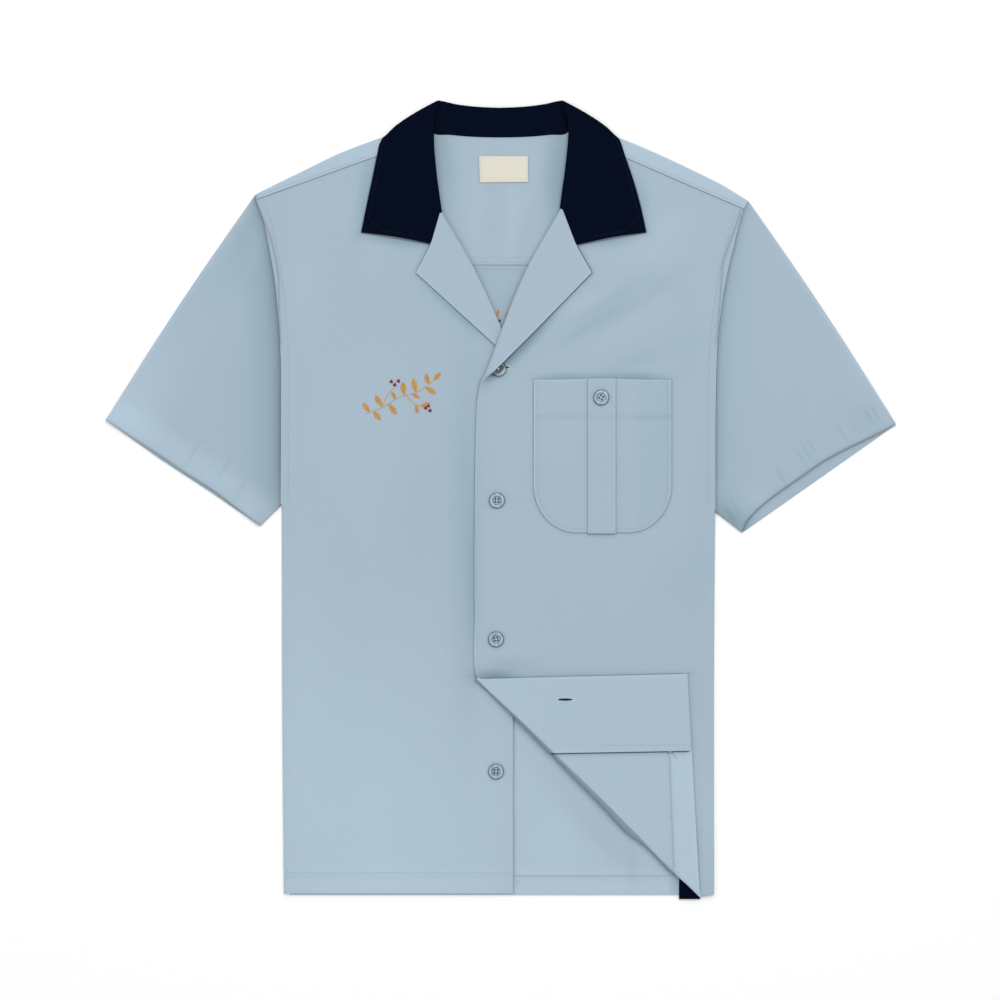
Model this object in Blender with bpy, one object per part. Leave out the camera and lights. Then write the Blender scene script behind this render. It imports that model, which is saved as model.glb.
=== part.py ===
"""Short-sleeved bowling shirt, buttoned and laid flat on its back, with one hem corner turned up.

The shirt lies on z = 0 with its collar towards +Y; the wearer's right side is at -X. Every cloth
piece is worked out as the middle surface of its wall, on grids, and Solidify gives the wall. Sizes
are in millimetres until a mesh is made, and "height" is the height of a wall's middle.
"""
import math

import bpy
import bmesh
import numpy as np

MM = 0.001  # metres in a millimetre

# Walls and gaps
WALL = 1.0  # cloth
SEAM_GAP = 0.35  # between two pieces that are sewn edge to edge
LAY = 1.4  # from the middle of a wall to the middle of the one that lies on it
FLOOR = WALL / 2  # height of a wall that lies on the floor
FOLD_RADIUS = 1.15  # side, shoulder and sleeve folds
FRONT_HEIGHT = FLOOR + 2 * FOLD_RADIUS  # the fronts at the side folds
OVERLAP_LIFT = 1.6  # how much higher the upper front lies where it covers the lower one
SEAM_FLANGE = 3.0  # the front's turn under the side fold, up to the seam with the back

# The collar fills the space under the yoke behind the neck, and lifts all that lies over it
COLLAR_LIFT = 1.4
LIFT_CENTRE = (0.0, 372.0)
LIFT_REACH = (133.0, 74.0)
LIFT_FULL, LIFT_NONE = 1.5, 2.8  # squared reach inside which the lift is full, and outside which it is none

HEM_Y = -374.4
BACK_HEM_Y = -375.9
YOKE_SEAM_Y = 224.6


def smooth(t):
    """Ease from 0 at t = 0 to 1 at t = 1, level at both ends."""
    t = np.clip(t, 0.0, 1.0)
    return t * t * (3.0 - 2.0 * t)


def unit(v):
    """Vectors of length one, along the last axis."""
    v = np.asarray(v, float)
    return v / np.linalg.norm(v, axis=-1, keepdims=True)


def spline(knots, points, at):
    """A smooth curve through the points, which lie at the knots: cubic pieces with the neighbours' tangents."""
    knots = np.asarray(knots, float)
    points = np.asarray(points, float)
    at = np.clip(np.asarray(at, float), knots[0], knots[-1])
    slope = np.gradient(points, knots, axis=0)
    i = np.clip(np.searchsorted(knots, at, side="right") - 1, 0, len(knots) - 2)
    span = (knots[i + 1] - knots[i])[:, None]
    t = (at - knots[i])[:, None] / span
    start = (1 + 2 * t) * (1 - t) ** 2 * points[i] + t * (1 - t) ** 2 * span * slope[i]
    return start + t * t * (3 - 2 * t) * points[i + 1] - t * t * (1 - t) * span * slope[i + 1]


def edge_at(outline, y):
    """Points of an outline, a list of (x, y) with rising y, at the given heights y on the shirt."""
    outline = np.asarray(outline, float)
    y = np.asarray(y, float)
    return np.stack([spline(outline[:, 1], outline[:, :1], y)[:, 0], y], 1)


def polyline(points, at):
    """Points at the fractions `at` of the length of a line that goes straight from point to point."""
    points = np.asarray(points, float)
    run = np.concatenate([[0.0], np.cumsum(np.linalg.norm(np.diff(points, axis=0), axis=1))])
    return np.stack([np.interp(np.asarray(at) * run[-1], run, c) for c in points.T], 1)


def stations(*legs):
    """Values from leg to leg: (start, end, steps) each, joined with no value twice."""
    values = [np.linspace(a, b, n + 1) for a, b, n in legs]
    return np.concatenate([values[0]] + [v[1:] for v in values[1:]])


def plan_normal(line):
    """Unit vectors a quarter turn to the left of a line in plan, at each of its points."""
    along = unit(np.gradient(line, axis=0))
    return np.stack([-along[:, 1], along[:, 0]], 1)


def fractions(line):
    """How far along a line each of its points lies, from 0 to 1."""
    run = np.concatenate([[0.0], np.cumsum(np.linalg.norm(np.diff(line, axis=0), axis=1))])
    return run / run[-1]


def patch(bottom, top, left, right):
    """Plan grid between four edges: its two rulings added together, less the corners' own ruling."""
    u = fractions((bottom + top) / 2)[None, :, None]
    v = fractions((left + right) / 2)[:, None, None]
    ruled = (1 - v) * bottom[None] + v * top[None] + (1 - u) * left[:, None] + u * right[:, None]
    corners = (1 - v) * ((1 - u) * bottom[0] + u * bottom[-1]) + v * ((1 - u) * top[0] + u * top[-1])
    return ruled - corners


def raised(plan, height):
    """Plan points with their heights."""
    return np.concatenate([plan, np.broadcast_to(height, plan.shape[:-1])[..., None]], -1)


# ---------------------------------------------------------------- the outline, seen from above

ARMHOLE_RIGHT = [  # x, y from the underarm up to the shoulder fold
    (-208.9, -6.2), (-208.6, 80.5), (-209.2, 143.4), (-210.5, 191.5), (-212.4, 227.2), (-216.2, 241.9),
    (-221.9, 260.5), (-226.7, 271.9), (-232.4, 285.6), (-231.9, 291.5)]
ARMHOLE_LEFT = [
    (205.1, -11.9), (205.5, 95.7), (206.3, 143.4), (210.0, 191.0), (211.5, 213.8), (215.7, 234.8),
    (223.3, 256.7), (229.4, 276.7), (236.2, 284.8)]
SIDE_RIGHT = [(-205.7, -378.0), (-207.2, -190.0), (-207.6, -6.2)]
SIDE_LEFT = [(203.8, -379.0), (203.8, -151.9), (204.8, -11.9)]
SHOULDER_RIGHT = [  # the shoulder fold, from the armhole to the neck
    (-231.9, 291.5), (-190.9, 311.6), (-151.4, 330.4), (-111.8, 345.3), (-68.6, 360.5)]
SHOULDER_LEFT = [(236.2, 284.8), (212.0, 299.6), (176.2, 317.3), (114.3, 344.3), (68.6, 360.5)]
FORWARD_SEAM_RIGHT = [(-232.4, 285.6), (-72.6, 342.6)]  # where the yoke meets the front
FORWARD_SEAM_LEFT = [(229.4, 276.7), (72.6, 345.3)]
BACK_NECK = [(-68.6, 360.5), (-64.0, 352.9), (-47.0, 349.0), (-32.4, 347.2), (-0.5, 346.2), (32.4, 347.2),
             (47.0, 349.0), (64.0, 352.9), (68.6, 360.5)]
FRONT_EDGE_RIGHT = 12.5  # x of the lower front's edge
FRONT_EDGE_LEFT = [  # the upper front's edge, from the turned corner to the break
    (-22.7, -170.0), (-22.7, 48.0), (-22.5, 80.0), (-21.6, 96.0), (-19.1, 111.0)]
ROLL_RIGHT = [(12.4, 135.7), (0.0, 167.2), (-28.0, 227.2), (-56.2, 281.5)]  # lapel fold, from the break up
ROLL_LEFT = [(-19.1, 111.0), (-12.0, 126.2), (-4.1, 147.2), (1.4, 162.4), (27.6, 225.3), (57.1, 281.5)]
FRONT_NECK_RIGHT = [(-66.8, 301.5), (-72.8, 324.3), (-72.6, 342.6)]  # above the lapel, where the stand is sewn
FRONT_NECK_LEFT = [(66.8, 301.5), (72.8, 324.3), (72.6, 345.3)]
LAPEL_RIGHT = [(-65.7, 243.4), (-80.0, 216.2), (-4.3, 147.2), (12.4, 135.7)]  # notch, point, lower edge
LAPEL_LEFT = [(72.4, 242.4), (87.2, 216.2), (34.8, 162.4), (4.4, 131.9), (-18.1, 111.0)]

# Turned corner of the upper front: the fold runs from its front edge to the hem
CORNER_START = np.array(FRONT_EDGE_LEFT[0])
CORNER_END = np.array([190.0, -377.7])
CORNER_TIP = np.array([178.4, -165.3])
VENT_HEM_Y = -375.6  # the hem beside the turned corner, at the side
CORNER_RADIUS = (1.2, 3.6)  # of the fold, at its ends and at its middle
FACING_EDGE = (np.array([51.2, -240.0]), np.array([180.2, -238.8]))  # the facing's inner edge, turned up
BUTTONHOLE = (62.3, -189.5)
BUTTONHOLE_SIZE = (13.6, 0.9)

# ---------------------------------------------------------------- heights

CREASES = (  # soft rises of the fronts: x, y, angle in degrees, length, width, height
    (-105.0, -150.0, 84.0, 170.0, 55.0, 1.3),
    (-150.0, 80.0, 88.0, 90.0, 30.0, 1.0),
    (112.0, -40.0, 96.0, 150.0, 55.0, 1.2),
    (124.0, 208.0, 40.0, 85.0, 27.0, 1.2),
    (-130.0, 225.0, -48.0, 70.0, 28.0, 0.9),
)
CREASE_MARGIN = 32.0  # the rises ease away towards the side, hem and armhole seams
HALF_WIDTH = 206.0  # of the body, for that margin
LIFT_FROM_X, LIFT_OVER = 40.0, 24.0  # where the upper front starts to rise over the lower one, and how far
GUSSET_FROM, GUSSET_OVER = (120.0, -295.0), 40.0  # and over the gusset past these x and y
GUSSET_LIFT = 0.7  # the left front lies this much higher over the vent gusset
LAPEL_BUMP = 1.4  # and the upper front over the end of the lower lapel
LAPEL_BUMP_AT = (4.0, 148.0)
LAPEL_BUMP_REACH = (18.0, 58.0)


def neck_lift(x, y):
    """The lift over the collar: full near the back neck and eased away round an ellipse."""
    reach = ((x - LIFT_CENTRE[0]) / LIFT_REACH[0]) ** 2 + ((y - LIFT_CENTRE[1]) / LIFT_REACH[1]) ** 2
    return COLLAR_LIFT * smooth((LIFT_NONE - reach) / (LIFT_NONE - LIFT_FULL))


def yoke_height(x, y):
    """The back's and the yoke's wall, on the floor or over the collar."""
    return FLOOR + neck_lift(x, y)


def front_height(x, y):
    """The lower front's wall: level at its seams, lifted at the neck, with the soft rises between."""
    height = FRONT_HEIGHT + neck_lift(x, y)
    inside = np.minimum(HALF_WIDTH - np.abs(x), y - HEM_Y)
    margin = smooth(inside / CREASE_MARGIN)
    for cx, cy, angle, length, width, rise in CREASES:
        turn = math.radians(angle)
        along = (x - cx) * math.cos(turn) + (y - cy) * math.sin(turn)
        across = (y - cy) * math.cos(turn) - (x - cx) * math.sin(turn)
        height = height + margin * rise * np.exp(-((along / length) ** 2) - (across / width) ** 2)
    return height


def upper_front_height(x, y):
    """The upper front's wall: as the lower front's, and higher where it lies over it or over the gusset."""
    height = front_height(x, y) + OVERLAP_LIFT * smooth((LIFT_FROM_X - x) / LIFT_OVER)
    away = np.hypot(x - LAPEL_BUMP_AT[0], y - LAPEL_BUMP_AT[1])
    near, far = LAPEL_BUMP_REACH
    height = height + LAPEL_BUMP * smooth((far - away) / (far - near))
    beside_vent = smooth((x - GUSSET_FROM[0]) / GUSSET_OVER) * smooth((GUSSET_FROM[1] - y) / GUSSET_OVER)
    return height + GUSSET_LIFT * beside_vent


# ---------------------------------------------------------------- meshes and materials


def material(name, colour, roughness, coat=0.0):
    """A Principled material with one colour."""
    made = bpy.data.materials.new(name)
    made.use_nodes = True
    shader = made.node_tree.nodes["Principled BSDF"]
    shader.inputs["Base Color"].default_value = (*colour, 1.0)
    shader.inputs["Roughness"].default_value = roughness
    shader.inputs["Metallic"].default_value = 0.0
    shader.inputs["Coat Weight"].default_value = coat
    made.diffuse_color = (*colour, 1.0)
    return made


def add_object(name, bm, finish):
    """The bmesh as a smooth-shaded object of its own."""
    mesh = bpy.data.meshes.new(name)
    bm.to_mesh(mesh)
    bm.free()
    mesh.shade_smooth()
    made = bpy.data.objects.new(name, mesh)
    mesh.materials.append(finish)
    bpy.context.scene.collection.objects.link(made)
    return made


def cloth(name, grids, finish, wall=WALL):
    """One piece of cloth from grids of middle points that share their edges, with its wall."""
    bm = bmesh.new()
    for grid in grids:
        rows, columns = grid.shape[:2]
        verts = [bm.verts.new(p) for p in (grid.reshape(-1, 3) * MM).tolist()]
        for i in range(rows - 1):
            for j in range(columns - 1):
                k = i * columns + j
                bm.faces.new((verts[k], verts[k + 1], verts[k + columns + 1], verts[k + columns]))
    bmesh.ops.remove_doubles(bm, verts=bm.verts, dist=0.00001)
    bmesh.ops.dissolve_degenerate(bm, edges=bm.edges, dist=0.00001)
    bmesh.ops.recalc_face_normals(bm, faces=bm.faces)
    piece = add_object(name, bm, finish)
    solid = piece.modifiers.new("wall", "SOLIDIFY")
    solid.thickness = wall * MM
    solid.offset = 0.0
    solid.use_even_offset = True
    return piece


# ---------------------------------------------------------------- folds

ARC_STEPS = 5


def round_fold(line, outward, first, last):
    """Half circles that carry a wall from the heights `first` to the heights `last`.

    `line` is the silhouette, and the crest of each half circle lies half a wall inside it.
    """
    radius = np.abs(first - last)[:, None] / 2
    turn = np.linspace(0.0, math.pi, ARC_STEPS + 1)[None, :]
    inset = WALL / 2 + radius * (1 - np.sin(turn))
    arc = line[:, None] - outward[:, None] * inset[..., None]
    return raised(arc, ((first + last)[:, None] + (first - last)[:, None] * np.cos(turn)) / 2)


def turned_flap(line, outward, outer, radius, base, rest, share=1.0, steps=5, clearance=None):
    """A fold from a wall up and over itself with the flap that it turns back, a row for each point of `line`.

    A row rises round a half circle to twice the radius above the wall, then eases down to lie `rest`
    above it at the outer edge, or goes only a `share` of the way. `clearance` gives the least rise
    above the wall.
    """
    radius, share = (np.broadcast_to(a, len(line))[:, None] for a in (radius, share))
    start = line - outward * (WALL / 2 + radius)
    low = base(start[:, 0], start[:, 1])[:, None]
    turn = np.linspace(0.0, math.pi, ARC_STEPS + 2)[None, :]
    arc = line[:, None] - outward[:, None] * (WALL / 2 + radius * (1 - np.sin(turn)))[..., None]
    arc = raised(arc, low + radius * (1 - np.cos(turn)))
    reach = outer - start
    short = -np.sum(reach * outward, axis=1) < SHORTEST_FLAP
    reach[short] = -outward[short] * SHORTEST_FLAP
    across = np.linspace(0.0, 1.0, steps + 1)[None, 1:]
    flap = start[:, None] + reach[:, None] * across[..., None]
    rise = rest + (2 * radius - rest) * (1 - share * across) ** 1.5
    if clearance is not None:
        rise = np.maximum(rise, clearance(flap[..., 0], flap[..., 1]))
    flap = raised(flap, base(flap[..., 0], flap[..., 1]) + rise)
    return np.concatenate([arc, flap], 1)


# ---------------------------------------------------------------- fronts

SHORTEST_FLAP = 1.2
SIDE_STEPS, LAPEL_STEPS, NECK_STEPS = 9, 12, 3  # rows of a front to the underarm, the gorge and the shoulder
POINT_Y = (232.0, 243.0, 258.0, 281.5)  # y on the roll of the rows from the lapel's point up to the gorge
POINT_STEP = len(POINT_Y) - 1
PAST_BUTTON_Y = 137.0  # the left lapel's rows stand closer below this, over the top button
FRONT_COLUMNS = 13
COLUMN_CROWDING = 1.25  # above one, the columns stand closer towards the front edge
GORGE_ROW = (255.0, 250.0)  # y of the armhole end of the row that meets the gorge, right and left
ROLL_RADIUS = 2.1  # of the collar's roll and the lapels' folds at the gorge
BREAK_RADIUS = 0.75  # of the lapels' folds at their lower ends
ROLL_GROWTH = ROLL_RADIUS - BREAK_RADIUS
ROLL_FROM_Y = (150.0, 111.0)  # where the lapel's fold starts to widen, right and left
ROLL_OVER = (110.0, 10.0)  # and over how much y
GORGE_SHARE = 0.36  # the gorge is this share of the collar's width, so lapel and collar meet at one height
FLAP_REST = 1.8  # the outer edges of collar and lapels above the wall under them
RIGHT, LEFT = -1, 1


def armhole_rows(hand):
    """Armhole seam of a front from the underarm up to the yoke, a point for each row."""
    armhole = ARMHOLE_RIGHT if hand == RIGHT else ARMHOLE_LEFT
    gorge = GORGE_ROW[0 if hand == RIGHT else 1]
    seam = (FORWARD_SEAM_RIGHT if hand == RIGHT else FORWARD_SEAM_LEFT)[0][1] - SEAM_GAP / 2
    return edge_at(armhole, stations((armhole[0][1], gorge, LAPEL_STEPS), (gorge, seam, NECK_STEPS)))


def side_fold(hand, hem_y, base):
    """A front's fold at its side: silhouette, outward direction and height, from the hem to the underarm."""
    side, underarm_y = (SIDE_RIGHT, ARMHOLE_RIGHT[0][1]) if hand == RIGHT else (SIDE_LEFT, ARMHOLE_LEFT[0][1])
    line = edge_at(side, np.linspace(hem_y, underarm_y, SIDE_STEPS + 1))
    return line, -hand * plan_normal(line), base(line[:, 0] - hand * FOLD_RADIUS, line[:, 1])


def lapel_stations(*legs):
    """The y on the roll of a lapel's rows, from the break up to the gorge."""
    return stations(*legs, *((low, high, 1) for low, high in zip(POINT_Y, POINT_Y[1:])))


def lapel_edge(outer):
    """Outer edge of a lapel from its break up to the notch, with a row at its point."""
    lower = polyline(outer[1:], np.linspace(0.0, 1.0, LAPEL_STEPS - POINT_STEP + 1))
    upper = polyline(outer[:2], np.linspace(0.0, 1.0, POINT_STEP + 1))
    return np.concatenate([upper, lower[1:]])[::-1]


def front_grids(hand, roll, radius, front_edge, hem, base, neck, lapel, clearance=None):
    """The three grids of a front: the panel, its lapel turned back, and its turn under at the side."""
    line, outward, height = side_fold(hand, hem[0][1], base)
    side_inner = line - outward * (WALL / 2 + (height - FLOOR) / 2)[:, None]
    outer_edge = np.concatenate([side_inner, armhole_rows(hand)[1:]])
    to_neck = hand * plan_normal(roll)
    roll_inner = roll - to_neck * (WALL / 2 + radius)[:, None]
    neck = np.array(neck) - [[0, 0], [0, 0], [0, SEAM_GAP / 2]]
    inner_edge = np.concatenate([front_edge[:-1], roll_inner, neck])
    hem[0], hem[-1] = outer_edge[0], inner_edge[0]
    top = outer_edge[-1] + (inner_edge[-1] - outer_edge[-1]) * fractions(hem)[:, None]
    panel = patch(hem, top, outer_edge, inner_edge)
    panel = raised(panel, base(panel[..., 0], panel[..., 1]))
    above_point = np.clip(1 - (LAPEL_STEPS - np.arange(LAPEL_STEPS + 1)) / POINT_STEP, 0.0, 1.0)
    share = 1 + (GORGE_SHARE - 1) * above_point
    flap = turned_flap(roll, to_neck, lapel_edge(lapel), radius, base, FLAP_REST, share, clearance=clearance)
    flap[:, 0] = panel[SIDE_STEPS:SIDE_STEPS + LAPEL_STEPS + 1, -1]
    under = round_fold(line, outward, height, np.full(len(line), FLOOR))
    flange = under[:, -1:].copy()
    flange[..., :2] -= outward[:, None] * SEAM_FLANGE
    under = np.concatenate([under, flange], 1)
    under[:, 0] = panel[:SIDE_STEPS + 1, 0]
    return [panel, flap, under]


def make_front_right(finish):
    """The lower front, which carries the buttons: its lapel's break lies under the upper front."""
    roll = edge_at(ROLL_RIGHT, lapel_stations((ROLL_RIGHT[0][1], POINT_Y[0], LAPEL_STEPS - POINT_STEP)))
    radius = BREAK_RADIUS + ROLL_GROWTH * smooth((roll[:, 1] - ROLL_FROM_Y[0]) / ROLL_OVER[0])
    front_edge = np.linspace((FRONT_EDGE_RIGHT, HEM_Y), (FRONT_EDGE_RIGHT, roll[0, 1]), SIDE_STEPS + 1)
    across = 1 - (1 - np.linspace(0.0, 1.0, FRONT_COLUMNS)) ** COLUMN_CROWDING
    hem = np.array([SIDE_RIGHT[0][0], HEM_Y]) + across[:, None] * [FRONT_EDGE_RIGHT - SIDE_RIGHT[0][0], 0.0]
    grids = front_grids(RIGHT, roll, radius, front_edge, hem, front_height, FRONT_NECK_RIGHT, LAPEL_RIGHT)
    return cloth("front_right", grids, finish)


FACING_LAY = 1.7  # from the middle of the corner's wall to the middle of the facing's
FACING_INSET = 1.5  # the facing lies this far inside the corner's edges

# The turned corner: rows stand at right angles to its fold, and one ends at the tip
CORNER_ALONG = unit(CORNER_END - CORNER_START)
CORNER_ACROSS = np.array([-CORNER_ALONG[1], CORNER_ALONG[0]])
CORNER_LENGTH = float(np.linalg.norm(CORNER_END - CORNER_START))
CORNER_REACH = float((CORNER_TIP - CORNER_START) @ CORNER_ACROSS)
TIP_SHARE = float((CORNER_TIP - CORNER_START) @ CORNER_ALONG) / CORNER_LENGTH
CORNER_ROWS = stations((0.0, TIP_SHARE, 6), (TIP_SHARE, 1.0, 7))


def corner_radius(share):
    """Radius of the corner's fold: soft in the middle and tight at both ends."""
    ends, middle = CORNER_RADIUS
    return ends + (middle - ends) * np.sin(math.pi * np.clip(share, 0.0, 1.0))


def corner_reach(share):
    """How far the turned corner reaches from its fold."""
    return CORNER_REACH * np.minimum(share / TIP_SHARE, (1 - share) / (1 - TIP_SHARE))


def corner_height(x, y):
    """The turned corner's wall over a plan point, as turned_flap lays it."""
    away = np.stack([x - CORNER_START[0], y - CORNER_START[1]], -1)
    share = away @ CORNER_ALONG / CORNER_LENGTH
    radius = corner_radius(share)
    first = WALL / 2 + radius
    across = np.clip((away @ CORNER_ACROSS - first) / np.maximum(corner_reach(share) - first, 1.0), 0.0, 1.0)
    return upper_front_height(x, y) + LAY + (2 * radius - LAY) * (1 - across) ** 1.5


def make_front_left(finish, slit):
    """The upper front, which carries the buttonholes, with its hem corner turned up over it."""
    legs = ((ROLL_LEFT[0][1], PAST_BUTTON_Y, 4), (PAST_BUTTON_Y, POINT_Y[0], 5))
    roll = edge_at(ROLL_LEFT, lapel_stations(*legs))
    radius = BREAK_RADIUS + ROLL_GROWTH * smooth((roll[:, 1] - ROLL_FROM_Y[1]) / ROLL_OVER[1])
    fold = CORNER_START + CORNER_ROWS[:, None] * (CORNER_END - CORNER_START)
    fold_inner = fold + CORNER_ACROSS * (WALL / 2 + corner_radius(CORNER_ROWS))[:, None]
    front_edge = edge_at(FRONT_EDGE_LEFT, np.linspace(CORNER_START[1], roll[0, 1], SIDE_STEPS + 1))
    front_edge[0] = fold_inner[0]
    hem = np.concatenate([[[SIDE_LEFT[0][0], VENT_HEM_Y]], fold_inner[::-1]])
    grids = front_grids(LEFT, roll, radius, front_edge, hem, upper_front_height, FRONT_NECK_LEFT,
                        LAPEL_LEFT, clearance=top_button_clearance)
    outer = fold + CORNER_ACROSS * corner_reach(CORNER_ROWS)[:, None]
    corner = turned_flap(fold, np.broadcast_to(-CORNER_ACROSS, fold.shape), outer, corner_radius(CORNER_ROWS),
                         upper_front_height, LAY, steps=8)
    corner[:, 0] = grids[0][0, :0:-1]
    piece = cloth("front_left", grids + [corner], finish)
    cut(piece, slit)
    return piece


def make_corner_facing(finish, slit):
    """The facing on the turned corner: a wall on the corner's, from the front edge to its own inner edge."""
    down = np.linspace(0.0, 1.0, 6)[:, None]
    left = CORNER_START + down * (FACING_EDGE[0] - CORNER_START)
    share = (left - CORNER_START) @ CORNER_ALONG / CORNER_LENGTH
    left = left + np.outer((corner_radius(share) + FACING_INSET) / CORNER_ACROSS[0], [1.0, 0.0])
    right = CORNER_TIP + down * (FACING_EDGE[1] - CORNER_TIP) - [FACING_INSET, 0.0]
    left[0, 1] -= FACING_INSET
    right[0, 1] -= FACING_INSET
    across = np.linspace(0.0, 1.0, 12)[None, :, None]
    plan = left[:, None] * (1 - across) + right[:, None] * across
    height = corner_height(plan[..., 0], plan[..., 1]) + FACING_LAY
    piece = cloth("corner_facing", [raised(plan, height)], finish)
    cut(piece, slit)
    return piece


def cutter(name, bm):
    """A shape that only cuts others."""
    made = add_object(name, bm, None)
    made.hide_render = True
    made.display_type = "WIRE"
    return made


def cut(piece, tool):
    """Cut one shape out of a piece."""
    hole = piece.modifiers.new("cut", "BOOLEAN")
    hole.operation = "DIFFERENCE"
    hole.object = tool


def buttonhole_cutter():
    """A slot through the turned corner and its facing, clear of the front that they lie on."""
    x, y = BUTTONHOLE
    low = float(corner_height(x, y)) - WALL
    high = low + 5 * WALL
    bm = bmesh.new()
    bmesh.ops.create_cube(bm, size=1.0)
    size = (BUTTONHOLE_SIZE[0], BUTTONHOLE_SIZE[1], high - low)
    bmesh.ops.scale(bm, vec=[s * MM for s in size], verts=bm.verts)
    bmesh.ops.translate(bm, vec=(x * MM, y * MM, (low + high) / 2 * MM), verts=bm.verts)
    return cutter("buttonhole_cutter", bm)


# ---------------------------------------------------------------- back and yoke

BACK_SIDE_INSET = 5.6  # the back ends here beside the fronts' flanges
UNDERARM_RISE = 3.0  # the back's side ends this far above the underarm
BACK_ARMHOLE_Y = 14.0  # and its armhole starts here
ROW_CLEARANCE = 2.0  # least distance in y between two rows
SHOULDER_COLUMNS, NECK_COLUMNS = 9, 20


def shoulder_fold(hand):
    """A shoulder fold from the armhole to the neck: silhouette and outward direction."""
    points = np.array(SHOULDER_RIGHT if hand == RIGHT else SHOULDER_LEFT)
    line = spline(fractions(points), points, np.linspace(0.0, 1.0, SHOULDER_COLUMNS))
    return line, -hand * plan_normal(line)


def armhole_between(hand, low, high):
    """Armhole points between two heights y, at the sleeve's own rows and at both ends."""
    rows = armhole_rows(hand)[:, 1]
    rows = rows[(rows > low + ROW_CLEARANCE) & (rows < high - ROW_CLEARANCE)]
    return edge_at(ARMHOLE_RIGHT if hand == RIGHT else ARMHOLE_LEFT, np.concatenate([[low], rows, [high]]))


def make_back_yoke(finish):
    """The yoke: its back lies under the fronts, and each shoulder wraps forward to the front seam."""
    strips, edges = [], []
    for hand, seam in ((RIGHT, FORWARD_SEAM_RIGHT), (LEFT, FORWARD_SEAM_LEFT)):
        line, outward = shoulder_fold(hand)
        low = yoke_height(line[:, 0], line[:, 1])
        high = front_height(line[:, 0], line[:, 1])
        fold = round_fold(line, outward, low, high)
        seam_line = polyline(np.array(seam) + [0, SEAM_GAP / 2], fractions(line))
        strip = fold[:, -1:, :2] + (seam_line[:, None] - fold[:, -1:, :2]) * np.array([0.5, 1.0])[:, None]
        strips.append(np.concatenate([fold, raised(strip, front_height(strip[..., 0], strip[..., 1]))], 1))
        edges.append(fold[:, 0, :2])
    neck = np.array(BACK_NECK)
    neck = spline(fractions(neck), neck, np.linspace(0.0, 1.0, NECK_COLUMNS + 1))
    top = np.concatenate([edges[0], neck[1:-1], edges[1][::-1]])
    seam_y = YOKE_SEAM_Y + SEAM_GAP / 2
    right, left = armhole_between(RIGHT, seam_y, top[0, 1]), armhole_between(LEFT, seam_y, top[-1, 1])
    right[-1], left[-1] = top[0], top[-1]
    share = (top[:, 0] - top[0, 0]) / (top[-1, 0] - top[0, 0])
    bottom = right[0] + share[:, None] * (left[0] - right[0])
    back = patch(bottom, top, right, left)
    back = raised(back, yoke_height(back[..., 0], back[..., 1]))
    strips[0][:, 0] = back[-1, :SHOULDER_COLUMNS]
    strips[1][:, 0] = back[-1, :-SHOULDER_COLUMNS - 1:-1]
    return cloth("back_yoke", [back] + strips, finish)


def make_back_body(finish):
    """The back below the yoke, flat on the floor."""
    edges = []
    for hand, side in ((RIGHT, SIDE_RIGHT), (LEFT, SIDE_LEFT)):
        foot = [side[0][0] - hand * BACK_SIDE_INSET, BACK_HEM_Y]
        underarm = [side[-1][0] - hand * BACK_SIDE_INSET, side[-1][1] + UNDERARM_RISE]
        straight = polyline([foot, underarm], np.linspace(0.0, 1.0, 7))
        armhole = armhole_between(hand, BACK_ARMHOLE_Y, YOKE_SEAM_Y - SEAM_GAP / 2)
        edges.append(np.concatenate([straight, armhole]))
    across = np.linspace(0.0, 1.0, 11)[:, None]
    bottom, top = (edges[0][i] + (edges[1][i] - edges[0][i]) * across for i in (0, -1))
    plan = patch(bottom, top, edges[0], edges[1])
    return cloth("back_body", [raised(plan, FLOOR)], finish)


# ---------------------------------------------------------------- sleeves

CUFF_RIGHT = [  # the upper layer's hem from the sleeve's outer fold to the underarm
    (-375.6, 76.0), (-351.0, 59.9), (-324.2, 42.4), (-300.5, 26.2), (-272.0, 8.1), (-248.6, -9.6),
    (-228.6, -23.3)]
CUFF_LEFT = [
    (377.3, 72.0), (353.6, 60.0), (327.7, 47.7), (306.7, 36.2), (285.8, 21.5), (264.8, 6.9), (244.6, -8.9),
    (235.0, -19.3), (230.9, -28.4)]
CUFF_UNDER_RIGHT = [  # and the under layer's
    (-375.6, 76.0), (-325.6, 40.3), (-273.4, 6.0), (-228.6, -23.3)]
CUFF_UNDER_LEFT = [(377.3, 72.0), (230.9, -28.4)]
SLEEVE_ROWS = 9
SLEEVE_LOFT = 1.7  # the upper layer's rise in the middle of the sleeve
LOFT_START, LOFT_END = 0.4, 1.3  # shares of the sleeve's length in which the rise builds up and would end
SLEEVE_BULGE = 2.2  # of the outer fold, halfway down


def fold_direction(hand, start, end):
    """The direction in plan out across a fold that runs from `start` to `end`."""
    along = unit(end - start)
    return -hand * np.array([along[1], -along[0]])


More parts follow.
